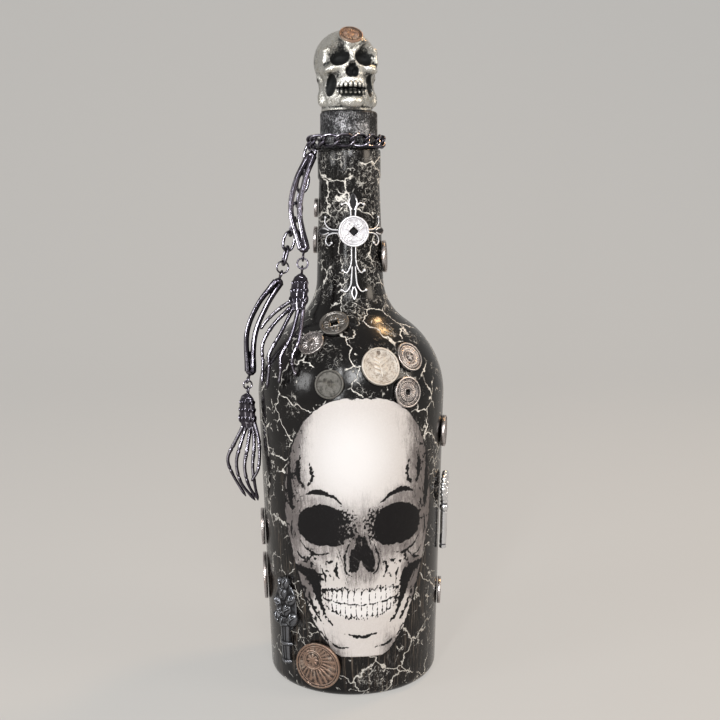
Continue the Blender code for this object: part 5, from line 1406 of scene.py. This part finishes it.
def crest():
    """The black relief: a spray of veined leaves on a fluted stem with a moulding round it."""
    place = wall_place(*CREST_PLACE)
    masses = [ball("crest_back", (0.0, 6.6, 0.9), (8.2, 13.2, 1.3), matrix=place)]
    for across, up, length, width, turn, rise in CREST_LEAVES:
        swing = Matrix.Rotation(math.radians(turn), 4, "Z")
        masses.append(ball("crest_leaf", (across, up, 1.2), (length, width, rise), turn=swing,
                           matrix=place))
        for vein in (-1, 0, 1):
            spread = math.radians(turn + 24.0 * vein)
            aim = np.array((math.cos(spread), math.sin(spread)))
            path = []
            for share in (-0.55, -0.1, 0.35, 0.8):
                flat = (across, up) + aim * share * length
                path.append((*flat, 1.3 + rise * math.sqrt(max(0.1, 1 - (share * 0.95) ** 2))))
            masses.append(drawn("crest_vein", smooth_line(path, 8),
                                [0.34, 0.36, 0.36, 0.36, 0.34, 0.30, 0.26, 0.2], sides=1,
                                matrix=place))
    for across in (-1.75, 0.0, 1.75):
        flute = [(across * 0.9, -23.0, 1.6), (across, -18.0, 1.9), (across, -8.0, 2.0),
                 (across * 1.1, 1.0, 1.9)]
        masses.append(drawn("crest_flute", flute, [1.0, 1.15, 1.15, 1.1], matrix=place))
    masses.append(ball("crest_stem", (0.0, -11.5, 1.2), (3.0, 11.6, 1.2), matrix=place))
    for up, width, wire in ((-12.2, 4.2, 0.95), (-21.8, 3.1, 0.8), (-2.2, 3.7, 0.7)):
        moulding = [(-width, up, 1.1), (-width * 0.5, up, 2.7), (0.0, up - 0.3, 3.1),
                    (width * 0.5, up, 2.7), (width, up, 1.1)]
        masses.append(drawn("crest_moulding", moulding, wire, matrix=place))
    relief = fused("leaf_crest", masses, 0.24, 1)
    hollows(relief, 2, 7.0, 0.66)
    settle(relief, "crest_charm", "bottle", "black_relief")


def key():
    """The silver key: a slit tube with turned collars under a bow of scrolls."""
    place = wall_place(*KEY_PLACE) @ Matrix.Rotation(-math.pi / 2, 4, "X")
    place = place @ down(KEY_HALF_LENGTH)
    shaft = turned("key_shaft", KEY_PROFILE, 48, angle=30.0)
    shaft.data.transform(place)
    slit = ball("key_slit", (0.0, 0.0, 9.5), (0.42, 2.4, 5.6), matrix=place)
    apply_modifier(shaft, "BOOLEAN", operation="DIFFERENCE", solver="EXACT", object=slit)
    bpy.data.objects.remove(slit)
    bow = place @ down(-KEY_BOW_HEIGHT)
    masses = [drawn("key_ring", ring_line(KEY_BOW_RADIUS, 40), 1.05, closed=True, matrix=bow)]
    for spot in ring_line(KEY_BOW_RADIUS, 16):
        masses.append(ball("key_bead", spot, (1.3, 1.6, 1.3), matrix=bow, smooth=2))
    for side in (-1, 1):
        scroll = [(side * across, 0.0, up) for across, up in KEY_SCROLL]
        masses.append(drawn("key_scroll", smooth_line(scroll, 26), 0.75, matrix=place))
    masses.append(drawn("key_stem", [(0.0, 0.0, up) for up in (25.6, 30.0, 36.0, 39.4)],
                        [1.3, 1.0, 0.8, 0.9], matrix=place))
    masses.append(ball("key_heart", (0.0, 0.0, 36.4), (1.7, 1.5, 1.7), matrix=place))
    piece = joined("scroll_key", [fused("key_bow", masses, 0.22, 1), shaft])
    hollows(piece, 2, 6.0)
    settle(piece, "key_charm", "bottle", "bright_silver")


# Chain and rings

JOINTS = {joint["name"]: Vector(joint["pos_m"])
          for joint in frame["record"]["behaviour"]["joints"] if "pos_m" in joint}


def loop(name, path, wire, matrix, body, node=None, highlight_way=ARM_HIGHLIGHT_SIDE, least=HIGHLIGHT_LINE):
    """A closed ring of wire on a body, which stands for the node of the body's name or its own."""
    piece = drawn(name, path, wire, closed=True, sides=3, matrix=matrix)
    # Painted highlight along the side of the wire that faces the given way
    paint_highlight(piece, highlight_way, least)
    mark(piece, "hollow", np.zeros(len(piece.data.vertices)))
    settle(piece, node or body, body, "gunmetal")


def link_line(twist):
    """The middle line of a link's wire, along its own X, its ends turned by the twist."""
    line, count = [], 28
    for step in range(count):
        angle = 2 * math.pi * step / count
        along, across = math.cos(angle), math.sin(angle)
        width = LINK_HALF_WIDTH * math.copysign(abs(across) ** 0.8, across)
        length = LINK_HALF_LENGTH * math.copysign(abs(along) ** 0.8, along)
        line.append((length, width * math.sin(twist * along), width * math.cos(twist * along)))
    return line


def chain_place(place):
    """Middle of a link of the neck chain, and its azimuth in degrees."""
    step = 360.0 / CHAIN_PLACES
    azimuth = CHAIN_AZIMUTH + place * step
    radius = LINK_PITCH / (2 * math.tan(math.radians(step / 2)))
    return facing(azimuth) * radius + Vector((CHAIN_SHIFT, 0.0, CHAIN_HEIGHT)), azimuth


def neck_chain():
    """The closed chain round the neck, with a highlight painted along the upper outer side of each
    link.
    """
    for place in range(CHAIN_PLACES):
        spot, azimuth = chain_place(place)
        matrix = Matrix.Translation(spot * MM) @ Matrix.Rotation(math.radians(azimuth), 4, "Z")
        loop(f"curb_link_{place + 1:02d}", link_line(math.radians(LINK_TWIST)), LINK_WIRE, matrix,
             "neck_chain", node=f"neck_chain_link_{place + 1:02d}",
             highlight_way=facing(azimuth) + Vector((0.0, 0.0, 0.5)), least=0.86)


def ring_line(radius, count=36):
    """Points on an upright circle, in millimetres."""
    return [(radius * math.cos(2 * math.pi * step / count), 0.0,
             radius * math.sin(2 * math.pi * step / count)) for step in range(count)]


def down(distance):
    """A step along own -Z."""
    return Matrix.Translation((0.0, 0.0, -distance * MM))


def strand_axes(name, lean):
    """Axes of the second strand at a joint: own -X away from the bottle, own -Z down it."""
    return (Matrix.Translation(JOINTS[name]) @ Matrix.Rotation(math.radians(STRAND_TURN), 4, "Z")
            @ Matrix.Rotation(lean, 4, "Y"))


def lean_between(first, second):
    """How far the line between two joints leans out."""
    span = JOINTS[second] - JOINTS[first]
    return math.atan2(math.hypot(span.x, span.y), -span.z)


def strand():
    """The run of links, each turned a quarter against the one above, and the elbow's ring."""
    lean = lean_between("strand_link_01_lift", "elbow_ring_b_lift")
    upright = Matrix.Rotation(math.pi / 2, 4, "Y")
    for index in range(STRAND_LINKS):
        name = f"strand_link_{index + 1:02d}"
        drop = LINK_HALF_LENGTH if index % 2 else LINK_HALF_LENGTH - 2.0
        quarter = Matrix.Rotation(math.pi / 2 * (index % 2), 4, "Z")
        loop(name.replace("strand", "cable"), link_line(0.0), LINK_WIRE,
             strand_axes(name + "_lift", lean) @ down(drop) @ quarter @ upright, name)
    loop("elbow_loop", ring_line(ELBOW_RING), RING_WIRE,
         strand_axes("elbow_ring_b_lift", lean) @ down(1.3), "elbow_ring_b")


# Skeleton arms

# Radius of a forearm's bone at shares of its length
BONE_ENDS = ((0.0, 1.85), (0.05, 1.90), (0.14, 1.58), (0.3, 1.42), (0.6, 1.38), (0.82, 1.46),
             (0.93, 1.66), (1.0, 1.80))

# Fingers and thumb: points of (across, forward, along), in hand lengths from the wrist
FINGERS_A = (
    ((-0.08, 0.00, 0.32), (-0.22, -0.03, 0.48), (-0.30, -0.03, 0.64), (-0.30, 0.00, 0.80),
     (-0.31, 0.03, 0.97)),
    ((-0.05, 0.00, 0.32), (-0.14, -0.03, 0.55), (-0.22, -0.04, 0.72), (-0.23, -0.01, 0.85),
     (-0.26, 0.03, 1.00)),
    ((0.00, 0.00, 0.32), (-0.04, -0.03, 0.58), (-0.11, -0.04, 0.74), (-0.12, -0.01, 0.86),
     (-0.15, 0.03, 0.96)),
    ((0.04, 0.00, 0.32), (0.04, -0.03, 0.60), (0.00, -0.04, 0.74), (-0.01, -0.01, 0.82),
     (0.01, 0.03, 0.90)),
    ((-0.03, 0.00, 0.24), (-0.17, 0.00, 0.32), (-0.28, 0.00, 0.41), (-0.36, 0.01, 0.50)),
)
FINGERS_B = (
    ((-0.05, 0.00, 0.32), (-0.13, -0.03, 0.48), (-0.20, -0.04, 0.63), (-0.17, -0.01, 0.78),
     (-0.07, 0.04, 0.98)),
    ((-0.02, 0.00, 0.32), (-0.06, -0.04, 0.48), (-0.09, -0.07, 0.65), (-0.06, -0.05, 0.83),
     (0.04, 0.02, 1.00)),
    ((0.02, 0.00, 0.32), (0.01, -0.04, 0.50), (0.00, -0.08, 0.67), (0.02, -0.06, 0.83),
     (0.06, 0.00, 0.97)),
    ((0.05, 0.00, 0.32), (0.07, -0.03, 0.50), (0.07, -0.06, 0.66), (0.08, -0.05, 0.82),
     (0.08, 0.00, 0.99)),
    ((0.05, 0.00, 0.26), (0.11, -0.02, 0.42), (0.13, -0.04, 0.58), (0.12, -0.06, 0.70),
     (0.06, -0.07, 0.80)),
)

# Web of the palm: points of (across, down) and half widths. Small bones: height, spread, length
WEB_LINE = ((0.0, 2.2), (-0.3, 3.9), (-0.6, 6.5), (-0.7, 12.0), (-0.5, 17.0), (-0.2, 20.0))
WEB_WIDTHS = (1.6, 3.7, 4.6, 4.9, 4.6, 3.4)
WEB_FLATNESS = 0.42
PALM_ROWS = ((-6.3, 1.80, 1.25), (-10.2, 2.0, 1.45), (-14.9, 2.1, 2.3))


def eye(name, height, turn, matrix):
    """The small ring at a bone's end that the next ring runs through."""
    place = matrix @ Matrix.Translation((0.0, 0.0, height * MM)) @ Matrix.Rotation(turn, 4, "Z")
    return drawn(name, ring_line(EYE_RADIUS, 28), EYE_WIRE, closed=True, matrix=place)


def forearm(name, node, top_turn, matrix):
    """Two bowed bones with their swollen ends and knuckles, and an eye at each end."""
    masses = []
    shares, ends = np.array(BONE_ENDS).T
    for side in (-1, 1):
        line = smooth_line(((side * 1.26, 0.0, -4.2), (side * 2.1 - 4.4, 0.0, -17.9),
                            (side * 2.1 - 5.5, 0.0, -33.6), (side * 1.26, 0.0, -51.8)),
                           BONE_STEPS)
        along = np.linspace(0, 1, BONE_STEPS)
        swell = np.interp(1 - along if side > 0 else along, shares, ends)
        masses.append(drawn("bone", line, list(swell), matrix=matrix))
        masses.append(drawn("ridge", [(x + side * 0.75, y - 0.75, z) for x, y, z in line[6:-6]],
                            0.6, sides=1, matrix=matrix))
    for height, depth, tall, rise in ((-3.9, 1.85, 1.7, -0.6), (-52.1, 1.8, 1.6, 0.7)):
        masses.append(ball("knuckle", (0.0, 0.0, height), (2.35, depth, tall), matrix=matrix))
        for side in (-1, 1):
            masses.append(ball("knob", (side * 1.65, -0.2, height + rise), (0.95, 1.3, 1.1),
                               matrix=matrix, smooth=2))
    masses.append(ball("hook", (0.0, 0.9, -3.0), (1.1, 0.95, 1.1), matrix=matrix))
    for tip, way in ((-1.3, -1), (-54.7, 1)):
        masses.append(drawn("neck", [(0.0, 0.0, tip + way * step) for step in (0.0, 1.0, 2.2)],
                            [0.55, 0.75, 1.3], matrix=matrix))
    bones = fused(f"{name}_bones", masses, 0.22, 2)
    piece = joined(name, [bones, eye(f"{name}_eye_top", 0.0, top_turn, matrix),
                          eye(f"{name}_eye_low", -FOREARM_LENGTH, math.pi / 2, matrix)])
    bpy.ops.object.shade_smooth()
    # Painted highlight along the side of the bones that faces the front lamps
    paint_highlight(piece, ARM_HIGHLIGHT_SIDE)
    hollows(piece, 3, 5.0)
    settle(piece, node, node, "gunmetal")


def finger_radius(share):
    """A finger's bones: waisted between their swollen ends, parted at the knuckles."""
    radius = 1.10 - 0.36 * share
    for knuckle in (0.0, 0.33, 0.67):
        radius += (0.30 - 0.10 * knuckle) * math.exp(-((share - knuckle) / 0.050) ** 2)
        radius -= 0.42 * math.exp(-((share - knuckle) / 0.016) ** 2)
    radius += 0.16 * math.exp(-((share - 0.94) / 0.04) ** 2)
    return radius * min(1.0, 0.35 + (1.0 - share) / 0.06)


def hand(name, node, fingers, turn, matrix):
    """A skeleton hand: eye, three rows of small bones on the palm, four fingers and a thumb."""
    flat = matrix @ Matrix.Diagonal((1.0, WEB_FLATNESS, 1.0, 1.0))
    masses = [drawn("web", [(across, 0.0, -drop) for across, drop in WEB_LINE], WEB_WIDTHS,
                    matrix=flat),
              drawn("neck", [(0.0, 0.0, -1.3), (0.0, 0.0, -2.2), (0.0, 0.0, -4.2)],
                    [0.55, 0.9, 2.0], matrix=matrix)]
    for height, spread, tall in PALM_ROWS:
        for column in range(-2, 3):
            centre = (column * spread - 0.6, 0.0, height - 0.2 * abs(column))
            depth = 1.0 + 1.35 * math.sqrt(1 - (column / 2.4) ** 2)
            masses.append(ball("carpal", centre, (0.74, depth, tall),
                               turn=Matrix.Rotation(math.radians(5.0 * column), 4, "Y"),
                               matrix=matrix))
    radii = [finger_radius(step / FINGER_STEPS) for step in range(FINGER_STEPS + 1)]
    for shares in fingers:
        points = [(across * HAND_LENGTH, depth * HAND_LENGTH, -along * HAND_LENGTH)
                  for across, depth, along in shares]
        masses.append(drawn("finger", smooth_line(points, FINGER_STEPS + 1), radii,
                            matrix=matrix))
    bones = fused(f"{name}_bones", masses, 0.22, 1)
    piece = joined(name, [bones, eye(f"{name}_eye", 0.0, math.pi / 2 - turn, matrix)])
    bpy.ops.object.shade_smooth()
    # Painted highlight along the side of the bones that faces the front lamps
    paint_highlight(piece, ARM_HIGHLIGHT_SIDE)
    hollows(piece, 2, 8.0)
    settle(piece, node, node, "gunmetal")


def arm_a():
    """The arm that leans forward over the shoulder."""
    span = JOINTS["hand_a_lift"] - JOINTS["forearm_a_lift"]
    axes = Matrix.Rotation(-math.atan2(-span.y, -span.z), 4, "X") @ Matrix.Rotation(
        math.asin(-span.x / span.length), 4, "Y")

    def at(joint, drop):
        """Axes of the arm at a joint, a little way down it."""
        return Matrix.Translation(JOINTS[joint]) @ axes @ down(drop)

    turn = math.radians(-25.0)
    forearm("lower_arm_a", "forearm_a", 0.0, at("forearm_a_lift", 0.15))
    loop("wrist_loop_a", ring_line(WRIST_RING_A), RING_WIRE,
         at("wrist_ring_a_lift", WRIST_RING_A), "wrist_ring_a")
    hand("skeleton_hand_a", "hand_a", FINGERS_A, turn,
         at("hand_a_lift", 0.45) @ Matrix.Rotation(turn, 4, "Z"))


def arm_b():
    """The arm that hangs beside the bottle from the run of links."""
    lean = lean_between("forearm_b_lift", "wrist_ring_b_swing")
    turn = math.radians(-45.0)
    forearm("lower_arm_b", "forearm_b", math.pi / 2,
            strand_axes("forearm_b_lift", lean) @ down(1.7))
    loop("wrist_loop_b", ring_line(WRIST_RING_B), RING_WIRE,
         strand_axes("wrist_ring_b_swing", 0.0) @ down(WRIST_RING_B), "wrist_ring_b")
    hand("skeleton_hand_b", "hand_b", FINGERS_B, turn,
         strand_axes("hand_b_lift", 0.0) @ down(1.7) @ Matrix.Rotation(turn, 4, "Z"))


# Camera, floor and light

def aim_camera():
    """The photograph's viewpoint: just above the bottle's middle, looking slightly down."""
    pitch, yaw, roll = [math.radians(angle) for angle in CAMERA_ANGLES]
    ahead = Vector((math.sin(yaw) * math.cos(pitch), math.cos(yaw) * math.cos(pitch),
                    -math.sin(pitch)))
    right = ahead.cross(Vector((0.0, 0.0, 1.0))).normalized()
    up = right.cross(ahead)
    right, up = (right * math.cos(roll) - up * math.sin(roll),
                 up * math.cos(roll) + right * math.sin(roll))
    camera = bpy.data.objects.new("camera", bpy.data.cameras.new("camera"))
    bpy.context.scene.collection.objects.link(camera)
    turn = Matrix((right, up, -ahead)).transposed().to_4x4()
    camera.matrix_world = Matrix.Translation(CAMERA_SPOT) @ turn
    camera.data.lens = CAMERA_LENS
    camera.data.sensor_width = 36.0
    camera.data.clip_start = 0.01
    bpy.context.scene.camera = camera
    bpy.context.scene.view_settings.view_transform = "Standard"


def soft_lamp(name, spot, target, sizes, power, colour):
    """A soft lamp that points at a target."""
    light = bpy.data.lights.new(name, "AREA")
    light.shape = "RECTANGLE"
    light.size, light.size_y = sizes
    light.energy = power
    light.color = colour
    lamp = bpy.data.objects.new(name, light)
    bpy.context.scene.collection.objects.link(lamp)
    lamp.location = spot
    lamp.rotation_euler = (Vector(target) - Vector(spot)).to_track_quat("-Z", "Y").to_euler()


def seen_plainly(finish):
    """1 for what the camera sees, straight or in a reflection, and 0 for light that falls."""
    ways = [finish.node("ShaderNodeLightPath", {}, {}, way) for way in PLAIN_WAYS]
    return ways[0].higher_of(ways[1]).higher_of(ways[2])


def pale_floor():
    """A pale floor that sweeps up behind the bottle and looks evenly lit."""
    bpy.ops.object.select_all(action="DESELECT")
    bpy.ops.mesh.primitive_plane_add(size=2.0, location=(0.0, 0.2, 0.0))
    floor = fresh("floor")
    bpy.ops.object.transform_apply(location=True)
    apply_modifier(floor, "SUBSURF", subdivision_type="SIMPLE", levels=6)
    spots = points_of(floor)
    spots[:, :2] *= 3.0
    far = np.maximum(spots[:, 1] - 900.0, 0.0) / 900.0
    spots[:, 2] = -0.2 + 700.0 * far ** 2
    move_points(floor, spots)
    bpy.ops.object.shade_smooth()
    paper = Finish("pale_floor", Roughness=0.7)
    paper.set("Base Color", paper.mixed(paper.noise(40.0), PALE, [part * 1.03 for part in PALE]))
    glow = paper.node("ShaderNodeEmission", {}, {"Color": (*PALE, 1.0), "Strength": 0.95})
    shown = paper.node("ShaderNodeMixShader", {}, {
        0: seen_plainly(paper) * 0.72, 1: Signal(paper, paper.shader.outputs[0]), 2: glow})
    paper.feed(paper.tree.nodes["Material Output"].inputs["Surface"], shown)
    floor.data.materials.append(paper.material)


def soft_sky():
    """A soft even light from all round, behind which the camera sees the floor's own tone."""
    world = bpy.context.scene.world or bpy.data.worlds.new("sky")
    bpy.context.scene.world = world
    world.use_nodes = True
    nodes, links = world.node_tree.nodes, world.node_tree.links
    sky, seen = nodes["Background"], nodes.new("ShaderNodeBackground")
    sky.inputs["Color"].default_value = (0.80, 0.80, 0.82, 1.0)
    sky.inputs["Strength"].default_value = 0.30
    seen.inputs["Color"].default_value = (*PALE, 1.0)
    seen.inputs["Strength"].default_value = 0.79
    shown = nodes.new("ShaderNodeMixShader")
    path, plainly = nodes.new("ShaderNodeLightPath"), shown.inputs[0]
    for way in PLAIN_WAYS:
        either = nodes.new("ShaderNodeMath")
        either.operation = "MAXIMUM"
        either.inputs[1].default_value = 0.0
        links.new(path.outputs[way], either.inputs[0])
        links.new(either.outputs[0], plainly)
        plainly = either.inputs[1]
    links.new(sky.outputs[0], shown.inputs[1])
    links.new(seen.outputs[0], shown.inputs[2])
    links.new(shown.outputs[0], nodes["World Output"].inputs["Surface"])


glass()
tear_band()
screw_cap()
skull_print()
cast_skull()
all_coins()
neck_cross()
crest()
key()
neck_chain()
strand()
arm_a()
arm_b()
aim_camera()
pale_floor()
soft_sky()
for lamp, settings in LAMPS.items():
    soft_lamp(lamp, *settings)
